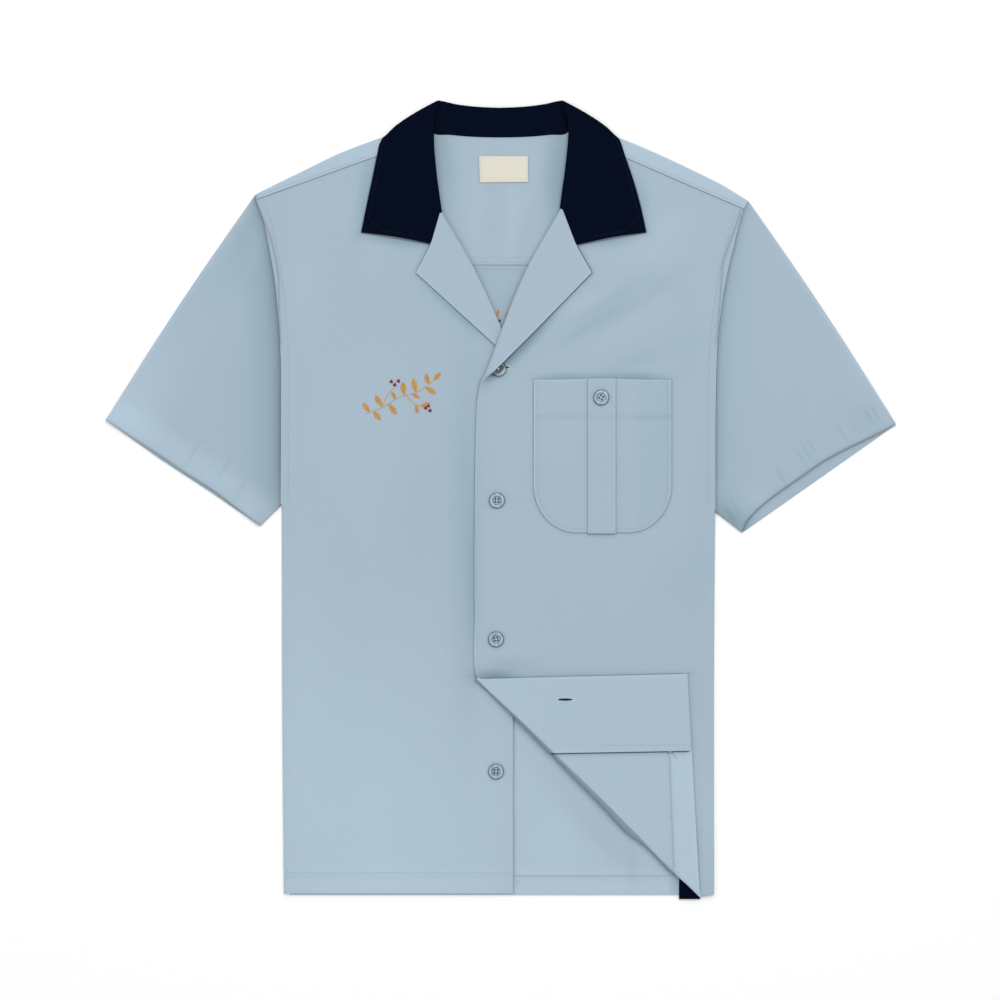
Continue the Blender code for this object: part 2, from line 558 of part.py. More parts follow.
def make_sleeve(hand, finish):
    """A sleeve: rings round a flattened tube, from the armhole seam to the cuff."""
    tip = np.array((SHOULDER_RIGHT if hand == RIGHT else SHOULDER_LEFT)[0])
    armhole = np.concatenate([armhole_rows(hand), [tip]])[::-1]
    cuff_points = np.array(CUFF_RIGHT if hand == RIGHT else CUFF_LEFT)
    share = fractions(armhole)
    cuff = spline(fractions(cuff_points), cuff_points, share)
    cuff_under = polyline(CUFF_UNDER_RIGHT if hand == RIGHT else CUFF_UNDER_LEFT, share)
    start = armhole + hand * plan_normal(armhole) * SEAM_GAP
    down = np.linspace(0.0, 1.0, SLEEVE_ROWS + 1)[:, None, None]
    bulge = SLEEVE_BULGE * (1 - share[:, None]) ** 3 * np.sin(math.pi * down)
    bulge = bulge * fold_direction(hand, armhole[0], cuff[0])
    upper = start + (cuff - start) * down + bulge
    lower = start + (cuff_under - start) * down + bulge

    # Out across the outer fold and the underarm; at the armhole both folds are cut along the seam
    across = []
    for end, inner, turn in ((0, 1, hand), (-1, -2, -hand)):
        out = np.repeat(fold_direction(turn, armhole[end], cuff[end])[None], SLEEVE_ROWS + 1, 0)
        seam = unit(armhole[end] - armhole[inner])
        out[0] = seam / (seam @ out[0])
        across.append(out[:, None])
    for layer in (upper, lower):
        layer[:, :1] -= across[0] * (WALL / 2 + FOLD_RADIUS)
        layer[:, -1:] -= across[1] * (WALL / 2 + FOLD_RADIUS)
    rising, settling = smooth(down[..., 0] / LOFT_START), LOFT_END - down[..., 0]
    loft = SLEEVE_LOFT * np.sin(math.pi * share) * rising * settling
    top, bottom = raised(upper, FRONT_HEIGHT + loft), raised(lower, FLOOR)[:, ::-1]
    turn = np.linspace(0.0, math.pi, ARC_STEPS)[None, 1:-1, None]

    def arc(first, last, out):
        """Half circle from the end of one layer to the start of the other."""
        middle = (first + last) / 2 + (first - last) / 2 * np.cos(turn)
        middle[..., :2] += out * FOLD_RADIUS * np.sin(turn)
        return middle

    underarm, outer_fold = arc(top[:, -1:], bottom[:, :1], across[1]), arc(bottom[:, -1:], top[:, :1], across[0])
    ring = [top, underarm, bottom, outer_fold, top[:, :1]]
    name = "sleeve_right" if hand == RIGHT else "sleeve_left"
    return cloth(name, [np.concatenate(ring, 1)], finish)


# ---------------------------------------------------------------- collar

# Sections of the collar from the middle of the back neck to its front end. In each the stand goes
# from the neck seam to the roll, and the fall from the roll to the outer edge. The fall lies under
# the yoke at a turn of -90 degrees and over the front at 90; in between it stands on the shoulder.
# The last column is how far the fall's path bends round the notch.
COLLAR_RIGHT = (
    # seam x, y       roll x, y       edge x, y         turn  bend
    (-0.5, 346.2,     -0.5, 374.8,    -0.5, 312.9,      -90, 0.0),
    (-17.0, 346.5,    -15.0, 375.4,   -17.0, 313.2,     -90, 0.0),
    (-32.4, 347.2,    -30.0, 376.4,   -35.0, 313.8,     -90, 0.0),
    (-47.0, 349.0,    -42.5, 377.8,   -55.0, 315.0,     -90, 0.0),
    (-64.0, 352.9,    -50.5, 379.3,   -80.0, 320.0,     -90, 0.0),
    (-68.6, 360.5,    -54.5, 380.4,   -114.2, 346.3,    -90, 0.0),
    (-68.6, 360.5,    -60.0, 374.5,   -114.2, 346.3,     90, 0.0),
    (-70.4, 350.8,    -62.0, 365.0,   -115.0, 336.8,     90, 0.0),
    (-72.6, 342.6,    -62.6, 354.0,   -116.6, 328.8,     90, 0.0),
    (-72.7, 333.5,    -62.6, 343.5,   -118.2, 320.5,     90, 0.0),
    (-72.8, 324.3,    -62.2, 333.0,   -119.9, 312.0,     90, 0.0),
    (-69.8, 312.9,    -61.2, 321.5,   -122.0, 302.0,     90, 0.0),
    (-66.8, 301.5,    -59.8, 308.0,   -124.6, 290.0,     90, 0.1),
    (-62.4, 291.0,    -58.2, 295.0,   -127.8, 275.0,     90, 0.45),
    (-58.1, 280.9,    -56.4, 281.9,   -131.9, 254.3,     90, 1.0),
)
COLLAR_LEFT = (
    (-0.5, 346.2,     -0.5, 374.8,    -0.5, 312.9,      -90, 0.0),
    (17.0, 346.5,     15.0, 375.4,    17.0, 313.2,      -90, 0.0),
    (32.4, 347.2,     30.0, 376.4,    35.0, 313.8,      -90, 0.0),
    (47.0, 349.0,     42.5, 377.8,    55.0, 315.0,      -90, 0.0),
    (64.0, 352.9,     50.5, 379.3,    80.0, 320.0,      -90, 0.0),
    (68.6, 360.5,     54.5, 380.4,    115.2, 345.8,     -90, 0.0),
    (68.6, 360.5,     60.6, 374.5,    115.2, 345.8,      90, 0.0),
    (70.4, 352.2,     63.3, 365.0,    115.8, 337.0,      90, 0.0),
    (72.6, 345.3,     64.8, 354.0,    118.4, 328.8,      90, 0.0),
    (72.7, 335.0,     64.7, 343.5,    121.0, 320.5,      90, 0.0),
    (72.8, 324.3,     63.8, 333.0,    124.0, 312.0,      90, 0.0),
    (69.8, 312.9,     62.6, 321.5,    127.4, 302.0,      90, 0.0),
    (66.8, 301.5,     61.0, 308.0,    130.8, 290.0,      90, 0.1),
    (63.0, 291.0,     59.0, 295.0,    134.8, 275.0,      90, 0.45),
    (59.0, 280.9,     57.3, 281.9,    139.1, 254.4,      90, 1.0),
)
PEAK = 5  # the row where the collar starts to turn over the shoulder, and the next where it has turned
PEAK_STEPS = 6
PEAK_RADIUS = 1.4  # of the roll at the peak, where the stand folds inside the fall
ROLL_CORNER = 0.8  # how far the roll is rounded outwards at the peak
END_BOW = 1.2  # how far the front end's lower edge bows up between the notch and the tip
PEAK_BLEND = 3.0  # rows over which the roll's radius eases from the peak's
UNDER_SHOULDER, OUT_AT_PEAK = (0.33, 0.94), (0.94, 0.33)  # directions in plan, on the left side
STAND_STEPS, ROLL_STEPS, FALL_STEPS = 3, 6, 5
NECK_GAP = 0.45  # between the collar and the pieces that it is sewn to


def collar_half(hand):
    """Rows of sections from the middle of the back to the front end: a grid of middle points."""
    table = np.array(COLLAR_RIGHT if hand == RIGHT else COLLAR_LEFT, float)
    step = np.linspace(0.0, 1.0, PEAK_STEPS + 1)[1:-1, None]
    between = table[PEAK] + step * (table[PEAK + 1] - table[PEAK])
    between[:, 2] += hand * ROLL_CORNER * np.sin(math.pi * step[:, 0])
    between[:, 3] += ROLL_CORNER * np.sin(math.pi * step[:, 0])
    rows = np.concatenate([table[:PEAK + 1], between, table[PEAK + 1:]])
    at_peak = np.zeros((len(rows), 1))
    at_peak[PEAK:PEAK + PEAK_STEPS + 1] = 1.0
    seam, roll, edge = rows[:, 0:2], rows[:, 2:4], rows[:, 4:6]
    turn, bend = np.radians(rows[:, 6:7]), rows[:, 7:8]

    away = np.maximum(0, np.maximum(PEAK - np.arange(len(rows)), np.arange(len(rows)) - PEAK - PEAK_STEPS))
    radius = (PEAK_RADIUS + (ROLL_RADIUS - PEAK_RADIUS) * smooth(away / PEAK_BLEND))[:, None]

    # Directions in plan: up the stand, out along the fall, and from the silhouettes inwards
    up, out = unit(roll - seam), unit(edge - roll)
    roll_end = np.array((ROLL_RIGHT if hand == RIGHT else ROLL_LEFT)[-2:])
    up[-1] = hand * plan_normal(roll_end)[-1]
    inward = hand * np.stack([out[:, 1], -out[:, 0]], 1)
    under_shoulder = unit([-hand * UNDER_SHOULDER[0], -UNDER_SHOULDER[1]])

    # Neck seam: beside the yoke's edge, its shoulder fold and the front's neck edge in turn
    clear = np.concatenate([hand * plan_normal(seam[:PEAK]), np.zeros((PEAK_STEPS + 1, 2)),
                            -hand * plan_normal(seam[PEAK + PEAK_STEPS:])[1:]])
    clear[PEAK:PEAK + PEAK_STEPS + 1] = unit([-hand * OUT_AT_PEAK[0], OUT_AT_PEAK[1]])
    seam = seam + clear * NECK_GAP + at_peak * under_shoulder * (WALL / 2 + FOLD_RADIUS * (1 - np.cos(turn)))
    low = yoke_height(seam[:, 0], seam[:, 1])[:, None]
    high = front_height(seam[:, 0], seam[:, 1])[:, None]
    bottom = np.concatenate([seam, (low + high) / 2 + (high - low) / 2 * np.sin(turn)], 1)

    arc_out = unit(out * (1 - bend) - up * bend)
    first = roll + arc_out * (radius + WALL / 2)
    notch = np.array((LAPEL_RIGHT if hand == RIGHT else LAPEL_LEFT)[0]) + [hand * SEAM_GAP, 0.1]

    def fall_at(across):
        """Points of the fall at a share of its width. The folds over the shoulder lie inside one another."""
        straight = first + (edge - first) * across
        path = first + (notch - first) * (across / GORGE_SHARE)
        if across > GORGE_SHARE:
            past_notch = (across - GORGE_SHARE) / (1 - GORGE_SHARE)
            path = notch + (edge - notch) * past_notch + [0.0, END_BOW * math.sin(math.pi * past_notch)]
        plan = straight * (1 - bend) + path * bend
        over = front_height(plan[:, 0], plan[:, 1])[:, None] + FLAP_REST
        over = over + (2 * ROLL_RADIUS - FLAP_REST) * (1 - across) ** 1.5
        middle, half = (over + FLOOR) / 2, (over - FLOOR) / 2
        plan = plan + at_peak * inward * (WALL / 2 + half * (1 - np.cos(turn)))
        return np.concatenate([plan, middle + half * np.sin(turn)], 1), middle, half

    fall = [fall_at(w)[0] for w in stations((0.0, GORGE_SHARE, 2), (GORGE_SHARE, 1.0, FALL_STEPS - 2))]
    middle, half = fall_at(0.0)[1:]
    stand_half = half - 2 * radius
    past_fold = WALL / 2 + half - stand_half * np.cos(turn)
    stand_top = roll - up * (radius + WALL / 2) + at_peak * inward * past_fold
    stand_top[-1] = seam[-1]
    top = np.concatenate([stand_top, middle + stand_half * np.sin(turn)], 1)
    rise = np.pad(up * radius * 4 / 3, ((0, 0), (0, 1)))
    drop = np.pad(arc_out * radius * 4 / 3, ((0, 0), (0, 1)))
    stand = [bottom + (top - bottom) * t for t in np.linspace(0.0, 1.0, STAND_STEPS + 1)[:-1]]
    arc = [(1 - t) ** 3 * top + 3 * t * (1 - t) ** 2 * (top + rise) + 3 * t * t * (1 - t) * (fall[0] - drop)
           + t ** 3 * fall[0] for t in np.linspace(0.0, 1.0, ROLL_STEPS + 1)[:-1]]
    return np.stack(stand + arc + fall, 1)


def make_collar(finish):
    """The collar in one piece: both halves meet in the middle of the back."""
    grid = np.concatenate([collar_half(RIGHT)[::-1], collar_half(LEFT)[1:]])
    return cloth("collar", [grid], finish)


# ---------------------------------------------------------------- pocket, label and gusset

POCKET_CENTRE = 97.7
POCKET_TOP, POCKET_BOTTOM = 115.2, -31.0
POCKET_HALF = 65.6
POCKET_CORNER = (40.0, 45.0)  # the lower corners' reach across and up
STRIP = (83.8, 110.5)


def pocket_floor(across):
    """The pocket's lower edge at a distance from its middle: straight, then round up to the sides."""
    turn = np.clip((np.abs(across) - POCKET_HALF + POCKET_CORNER[0]) / POCKET_CORNER[0], 0.0, 1.0)
    return POCKET_BOTTOM + POCKET_CORNER[1] * (1 - np.sqrt(1 - turn ** 2))


def pocket_grid(across, rows, lift):
    """Rows down the pocket at distances from its middle, lifted off the upper front."""
    down = np.linspace(0.0, 1.0, rows + 1)[:, None]
    y = POCKET_TOP + (pocket_floor(across) - POCKET_TOP)[None] * down
    x = np.broadcast_to(POCKET_CENTRE + across, y.shape)
    return np.stack([x, y, upper_front_height(x, y) + lift], -1)


def make_pocket(finish):
    """The pocket and the box strip that lies down its middle."""
    corner = POCKET_HALF - POCKET_CORNER[0] + POCKET_CORNER[0] * np.sin(np.linspace(0.0, math.pi / 2, 6))
    middle = stations((-corner[0], corner[0], 4))
    across = np.concatenate([-corner[:0:-1], middle, corner[1:]])
    cloth("pocket_patch", [pocket_grid(across, 9, LAY)], finish)
    strip = stations((STRIP[0], STRIP[1], 2)) - POCKET_CENTRE
    cloth("pocket_strip", [pocket_grid(strip, 9, 2 * LAY)], finish)


LABEL_CORNERS = ((-20.0, 327.2), (26.7, 327.2), (-19.3, 302.0), (26.7, 302.4))
GUSSET = (169.4, 190.4, -379.8, -345.0)  # x from and to, y from and to


def make_label(finish):
    """The neck label, sewn on the yoke."""
    a, b, c, d = (np.array(p) for p in LABEL_CORNERS)
    across, down = np.linspace(0.0, 1.0, 5)[None, :, None], np.linspace(0.0, 1.0, 4)[:, None, None]
    plan = (a + (b - a) * across) * (1 - down) + (c + (d - c) * across) * down
    return cloth("label", [raised(plan, yoke_height(plan[..., 0], plan[..., 1]) + LAY)], finish)


def make_gusset(finish):
    """The small gusset at the side vent, between the back and the upper front."""
    x, y = np.meshgrid(np.linspace(*GUSSET[:2], 3), np.linspace(*GUSSET[2:], 3))
    return cloth("vent_gusset", [np.stack([x, y, np.full(x.shape, FLOOR + LAY)], -1)], finish)


# ---------------------------------------------------------------- buttons

BUTTON_PROFILE = (  # radius and height, from the middle underneath to the middle on top
    (0.0, 0.0), (6.7, 0.0), (7.4, 0.5), (7.62, 1.2), (7.3, 2.0), (6.6, 2.4), (5.6, 2.2), (4.9, 1.6),
    (0.0, 1.6))
BUTTON_SIDES = 20
BUTTON_RADIUS, BUTTON_HEIGHT = 7.62, 2.4
HOLE_RADIUS, HOLE_REACH = 0.95, 2.4  # a thread hole, and its distance from the button's middle
BUTTONS = (  # name, x, y, turn of the holes in degrees, what it lies on
    ("button_1", -1.0, 123.8, 20.0, "front"),
    ("button_2", -2.9, -0.5, 40.0, "front"),
    ("button_3", -3.8, -131.4, 35.0, "front"),
    ("button_4", -3.8, -258.2, 30.0, "lower front"),
    ("button_pocket", 96.2, 98.2, 25.0, "strip"),
)
BUTTON_SEAT = 0.3  # from the cloth up to the button
OVER_BUTTON = 0.3  # from the button up to the lapel that lies over it
BUTTON_REACH = (13.0, 24.0)  # from the top button the lapel is clear of it to here, and eases down to there


def top_button_clearance(x, y):
    """How far above the upper front its lapel lies so as to pass over the top button."""
    away = np.hypot(x - BUTTONS[0][1], y - BUTTONS[0][2])
    over_button = BUTTON_HEIGHT + 2 * BUTTON_SEAT + WALL + OVER_BUTTON
    near, far = BUTTON_REACH
    return FLAP_REST + (over_button - FLAP_REST) * smooth((far - away) / (far - near))


def seat_height(x, y, on):
    """Top of the cloth under a button, at its highest."""
    turn = np.linspace(0.0, 2 * math.pi, 13)
    ring_x, ring_y = x + BUTTON_RADIUS * np.cos(turn), y + BUTTON_RADIUS * np.sin(turn)
    base = front_height if on == "lower front" else upper_front_height
    rise = 2 * LAY if on == "strip" else 0.0
    return float(np.max(base(ring_x, ring_y))) + rise + WALL / 2 + BUTTON_SEAT


def make_button(name, x, y, turn, on, finish):
    """A turned button, dished on top, with four holes cut through it."""
    bm = bmesh.new()
    verts = [bm.verts.new((r * MM, 0.0, z * MM)) for r, z in BUTTON_PROFILE]
    edges = [bm.edges.new(pair) for pair in zip(verts, verts[1:])]
    bmesh.ops.spin(bm, geom=verts + edges, axis=(0, 0, 1), cent=(0, 0, 0), angle=2 * math.pi,
                   steps=BUTTON_SIDES, use_merge=True)
    bmesh.ops.remove_doubles(bm, verts=bm.verts, dist=0.00001)
    bmesh.ops.recalc_face_normals(bm, faces=bm.faces)
    button = add_object(name, bm, finish)
    holes = bmesh.new()
    for i in range(4):
        angle = math.radians(turn + 45.0) + i * math.pi / 2
        made = bmesh.ops.create_cone(holes, cap_ends=True, segments=8, radius1=HOLE_RADIUS * MM,
                                     radius2=HOLE_RADIUS * MM, depth=3 * BUTTON_HEIGHT * MM)
        place = (HOLE_REACH * math.cos(angle) * MM, HOLE_REACH * math.sin(angle) * MM, 0.0)
        bmesh.ops.translate(holes, vec=place, verts=made["verts"])
    tool = cutter(name + "_holes", holes)
    button.location = tool.location = (x * MM, y * MM, seat_height(x, y, on) * MM)
    cut(button, tool)
    return button


def main():
    for old in list(bpy.data.objects):
        bpy.data.objects.remove(old, do_unlink=True)
    pale = material("pale_cloth", (0.36, 0.47, 0.56), 0.85)
    navy = material("navy_cloth", (0.004, 0.007, 0.018), 0.9)
    satin = material("label_satin", (0.74, 0.72, 0.64), 0.6)
    pearl = material("pearl_plastic", (0.22, 0.28, 0.36), 0.25, coat=0.4)
    slit = buttonhole_cutter()
    make_back_body(pale)
    make_back_yoke(pale)
    make_front_right(pale)
    make_front_left(pale, slit)
    make_corner_facing(pale, slit)
    for hand in (RIGHT, LEFT):
        make_sleeve(hand, pale)
    make_collar(navy)
    make_pocket(pale)
    make_label(satin)
    make_gusset(navy)
    for row in BUTTONS:
        make_button(*row, pearl)


if __name__ == "__main__":
    main()
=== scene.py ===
# %% [markdown]
# # A bowling shirt, laid flat
#
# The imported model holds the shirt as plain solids: fronts, yoke, back, sleeves, collar, pocket and
# buttons, each in its place. This lesson dresses them. Every cloth piece becomes a thin shell on the
# form of its solid, with the creases, seams, stitches and weave that the solid leaves out.
#
# A simulation could let the shirt fall on the table, but this one was laid out by hand: its folds are
# placed, crisp and few. So each piece is a surface worked out with numpy, which gives every fold where
# it should be, and the same result at each run.

# %% The fixed frame
import math

import bmesh
import bpy
import numpy as np
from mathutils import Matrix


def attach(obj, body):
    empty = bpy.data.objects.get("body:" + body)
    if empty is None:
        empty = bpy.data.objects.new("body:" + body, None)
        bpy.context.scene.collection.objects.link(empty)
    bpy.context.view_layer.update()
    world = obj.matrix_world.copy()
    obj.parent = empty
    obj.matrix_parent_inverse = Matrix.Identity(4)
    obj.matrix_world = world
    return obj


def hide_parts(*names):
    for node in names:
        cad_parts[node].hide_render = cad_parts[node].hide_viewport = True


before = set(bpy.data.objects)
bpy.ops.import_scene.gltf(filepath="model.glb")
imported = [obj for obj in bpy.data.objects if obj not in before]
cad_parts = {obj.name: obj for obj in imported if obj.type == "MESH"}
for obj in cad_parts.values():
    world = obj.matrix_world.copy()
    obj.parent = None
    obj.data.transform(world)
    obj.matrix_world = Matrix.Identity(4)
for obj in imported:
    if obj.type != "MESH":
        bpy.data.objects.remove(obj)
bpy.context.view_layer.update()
print("solids:", sorted(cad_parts))

# %% [markdown]
# ## Curves and grids
#
# A tailor's pattern is a set of outlines. Here each outline is a short table of points in millimetres,
# seen from above with the collar towards +Y. `spline` draws a smooth curve through such a table, and
# `patch` fills the space between four curves with a grid of points, as cloth fills a pattern piece.

# %% Curves through a few points
MM = 0.001  # metres in a millimetre
RIGHT, LEFT = -1, 1  # the wearer's right is at -X


def smooth(t):
    """Ease from 0 at t = 0 to 1 at t = 1, level at both ends: 3t^2 - 2t^3."""
    t = np.clip(t, 0.0, 1.0)
    return t * t * (3.0 - 2.0 * t)


def unit(v):
    """Vectors divided by their length, along the last axis."""
    v = np.asarray(v, float)
    return v / np.linalg.norm(v, axis=-1, keepdims=True)


def spline(knots, points, at):
    """A smooth curve through points at the knots: cubic pieces, with tangents from the neighbours."""
    knots = np.asarray(knots, float)
    points = np.asarray(points, float)
    at = np.clip(np.asarray(at, float), knots[0], knots[-1])
    slope = np.gradient(points, knots, axis=0)
    i = np.clip(np.searchsorted(knots, at, side="right") - 1, 0, len(knots) - 2)
    shape = (-1,) + (1,) * (points.ndim - 1)
    span = (knots[i + 1] - knots[i]).reshape(shape)
    t = (at - knots[i]).reshape(shape) / span
    start = (1 + 2 * t) * (1 - t) ** 2 * points[i] + t * (1 - t) ** 2 * span * slope[i]
    return start + t * t * (3 - 2 * t) * points[i + 1] - t * t * (1 - t) * span * slope[i + 1]


def edge_at(outline, y):
    """Points of an outline, a list of (x, y) with rising y, at the given heights y on the shirt."""
    outline = np.asarray(outline, float)
    y = np.asarray(y, float)
    return np.stack([spline(outline[:, 1], outline[:, :1], y)[:, 0], y], 1)


def fractions(line):
    """How far along a line each of its points lies, from 0 to 1: its running length over its whole length."""
    run = np.concatenate([[0.0], np.cumsum(np.linalg.norm(np.diff(line, axis=0), axis=1))])
    return run / run[-1]


def polyline(points, at):
    """Points at the fractions `at` of the length of a line that goes straight from point to point."""
    points = np.asarray(points, float)
    return np.stack([np.interp(np.asarray(at), fractions(points), c) for c in points.T], 1)


def stations(*legs):
    """Values from leg to leg: (start, end, steps) each, joined with no value twice."""
    values = [np.linspace(a, b, n + 1) for a, b, n in legs]
    return np.concatenate([values[0]] + [v[1:] for v in values[1:]])


def level_line(start, end, y, count=60):
    """A level plan line from x = start to x = end."""
    return np.stack([np.linspace(start, end, count), np.full(count, y)], 1)


def plan_normal(line):
    """Unit vectors a quarter turn to the left of a line in plan, at each of its points."""
    along = unit(np.gradient(line, axis=0))
    return np.stack([-along[:, 1], along[:, 0]], 1)


def patch(bottom, top, left, right):
    """Plan grid between four edges: its two rulings added together, less the corners' own ruling."""
    u = fractions((bottom + top) / 2)[None, :, None]
    v = fractions((left + right) / 2)[:, None, None]
    ruled = (1 - v) * bottom[None] + v * top[None] + (1 - u) * left[:, None] + u * right[:, None]
    corners = (1 - v) * ((1 - u) * bottom[0] + u * bottom[-1]) + v * ((1 - u) * top[0] + u * top[-1])
    return ruled - corners


def raised(plan, height):
    """Plan points with their heights."""
    return np.concatenate([plan, np.broadcast_to(height, plan.shape[:-1])[..., None]], -1)


# %% [markdown]
# ## The outline
#
# These tables are the shirt's own edges and folds. The armholes are curves, the sides are nearly
# straight, and the roll is the line on which each lapel folds back.

# %% Outline tables, in millimetres
ARMHOLE = {  # x, y from the underarm up to the shoulder fold
    RIGHT: [(-208.9, -6.2), (-208.6, 80.5), (-209, 143.4), (-212, 186), (-213.9, 205.3), (-216.9, 224.3),
            (-220.7, 244.6), (-224.8, 264), (-229.6, 277.5), (-232.4, 285.6), (-231.9, 291.5)],
    LEFT: [(205.1, -11.9), (205.5, 95.7), (206.8, 143.4), (212, 191), (218.2, 224.3), (222.3, 240.5),
           (227.4, 261.5), (232, 276.7), (236.2, 284.8)]}
SLEEVE_SEAM = {  # the fine line of the seam, inside the ridge of its allowance
    RIGHT: [(-209, 150), (-210.5, 192.2), (-210.8, 212.4), (-213.1, 229.1), (-217.9, 248.1),
            (-224.4, 265.4), (-232.4, 285.6)],
    LEFT: [(206, 150), (209.5, 192.2), (211.7, 224.3), (216.9, 240.5), (225, 262.4), (229.4, 276.7)]}
SIDE = {RIGHT: [(-205.7, -378), (-207.2, -190), (-207.6, -6.2)],
        LEFT: [(203.8, -379), (203.8, -151.9), (204.8, -11.9)]}
SHOULDER = {  # the shoulder fold, from the armhole to the neck
    RIGHT: [(-231.9, 291.5), (-190.9, 311.6), (-151.4, 330.4), (-111.8, 345.3), (-68.6, 360.5)],
    LEFT: [(236.2, 284.8), (212, 299.6), (176.2, 317.3), (114.3, 344.3), (68.6, 360.5)]}
FORWARD_SEAM = {RIGHT: [(-232.4, 285.6), (-72.6, 342.6)],  # where the yoke meets the front
                LEFT: [(232, 276.7), (72.6, 345.3)]}
BACK_NECK = [(-68.6, 360.5), (-64, 349.4), (-47, 347.4), (-32.4, 346), (-0.5, 345), (32.4, 346),
             (47, 347.4), (64, 349.4), (68.6, 360.5)]
FRONT_EDGE_RIGHT = 12.5  # x of the lower front's edge
FRONT_EDGE_LEFT = [  # the upper front's edge, from the turned corner to the break
    (-22.7, -170), (-23.9, -161), (-24.2, -110), (-24.2, -20), (-23.6, 35), (-22.7, 75),
    (-21.6, 96), (-19.1, 111)]
ROLL = {  # lapel fold, from the break up
    RIGHT: [(12.4, 135.7), (0, 167.2), (-28, 227.2), (-55, 273.4)],
    LEFT: [(-19.1, 111), (-12, 126.2), (-4.1, 147.2), (1.4, 162.4), (27.6, 225.3), (57.2, 276.8)]}
FRONT_NECK = {RIGHT: [(-66.8, 301.5), (-72.8, 324.3), (-72.6, 342.6)],  # above the lapel
              LEFT: [(66.8, 301.5), (72.8, 324.3), (72.6, 345.3)]}
LAPEL = {  # notch, point, lower edge
    RIGHT: [(-65.7, 243.4), (-80, 216.2), (-4.3, 147.2), (12.4, 135.7)],
    LEFT: [(72.4, 242.4), (87.2, 216.2), (34.8, 162.4), (4.4, 131.9), (-18.1, 111)]}
HEM_Y, BACK_HEM_Y, VENT_HEM_Y, YOKE_SEAM_Y = -374.4, -375.9, -375.6, 223.8

# Turned corner of the upper front: the fold runs from its front edge to the hem
CORNER_START = np.array(FRONT_EDGE_LEFT[0])
CORNER_END = np.array([190.0, -377.7])
CORNER_TIP = np.array([178.4, -165.3])
CORNER_RADIUS = (1.2, 3.6)  # of the fold, at its ends and at its middle
CORNER_ROUND = [  # share of the fold's length, and how far its round stands out there
    (0, 0.2), (0.08, 0.2), (0.17, 0.3), (0.3, 1.3), (0.41, 2.2), (0.49, 2.7), (0.6, 3.5), (0.66, 4.6),
    (0.7, 4.4), (0.745, 1.9), (0.79, 1.3), (0.83, 2), (0.87, 2.1), (0.93, 0.4), (1, 0.2)]
CORNER_HEM = [(165.0, -351.0), (161.0, -239.6), (158.0, -165.0)]  # the hem's row of stitches on the corner
FACING_EDGE = [(49.6, -239.8), (182.2, -238.0)]  # the facing's inner edge, turned up

# %% The turned corner's own directions, and the pocket's outline
CORNER_ALONG = unit(CORNER_END - CORNER_START)
CORNER_ACROSS = np.array([-CORNER_ALONG[1], CORNER_ALONG[0]])
CORNER_LENGTH = float(np.linalg.norm(CORNER_END - CORNER_START))
CORNER_REACH = float((CORNER_TIP - CORNER_START) @ CORNER_ACROSS)
TIP_SHARE = float((CORNER_TIP - CORNER_START) @ CORNER_ALONG) / CORNER_LENGTH
POCKET_CENTRE, POCKET_TOP, POCKET_BOTTOM, POCKET_HALF = 97.5, 114.5, -31.0, 65.5
POCKET_CORNER = (40.0, 45.0)  # the lower corners' reach across and up
STRIP = (83.6, 109.8)  # x of the box strip down the pocket's middle
POCKET_BOW = 1.3  # the top edge rises towards the strip
STRIP_PAST = 0.9  # how far the strip's foot reaches below the pocket


def pocket_floor(across):
    """The pocket's lower edge at a distance from its middle: straight, then round up to the sides."""
    turn = np.clip((np.abs(across) - POCKET_HALF + POCKET_CORNER[0]) / POCKET_CORNER[0], 0.0, 1.0)
    return POCKET_BOTTOM + POCKET_CORNER[1] * (1 - np.sqrt(1 - turn ** 2))


def pocket_brim(across):
    """The pocket's upper edge: level, and bowed up by a soft mound at the strip."""
    return POCKET_TOP + POCKET_BOW * np.exp(-((across / 24.0) ** 2))


corner = POCKET_HALF - POCKET_CORNER[0] + POCKET_CORNER[0] * np.sin(np.linspace(0.0, math.pi / 2, 22))
pocket_across = np.concatenate([-corner[:0:-1], stations((-corner[0], corner[0], 26)), corner[1:]])
pocket_lower = np.stack([pocket_across, pocket_floor(pocket_across)], 1)
pocket_upper = np.stack([pocket_across, pocket_brim(pocket_across)], 1)[::-1]
pocket_edge = np.concatenate([pocket_upper[-1:], pocket_lower, pocket_upper]) + [POCKET_CENTRE, 0.0]
print("pocket outline:", len(pocket_edge), "points")

# %% [markdown]
# ## Heights
#
# Layers of cloth lie a wall's thickness above each other. On top of that come the forms that a hand
# leaves when it smooths a shirt out: broad swells a millimetre high, a few soft creases, and the ridge
# that a seam's allowance makes underneath. Each is a soft mound in a table, and `mounds` adds them up,
# so a crease can be moved by changing one row.

# %% Walls, gaps and the height of each layer
SOLID_WALL = 1.0  # wall of the solids, from which all places are measured
WALL = 0.8  # and of the cloth itself
SEAM_GAP, NECK_GAP = 0.35, 0.45
LAY = 1.4  # from the middle of a wall to the middle of the one that lies on it
FLOOR = SOLID_WALL / 2
FOLD_RADIUS = 1.15  # side, shoulder and sleeve folds
FRONT_HEIGHT = FLOOR + 2 * FOLD_RADIUS
OVERLAP_LIFT = 1.6  # the upper front where it covers the lower one
SEAM_FLANGE = 3.0
COLLAR_LIFT, LIFT_CENTRE, LIFT_REACH, LIFT_FULL, LIFT_NONE = 1.4, (0.0, 372.0), (133.0, 74.0), 1.5, 2.8

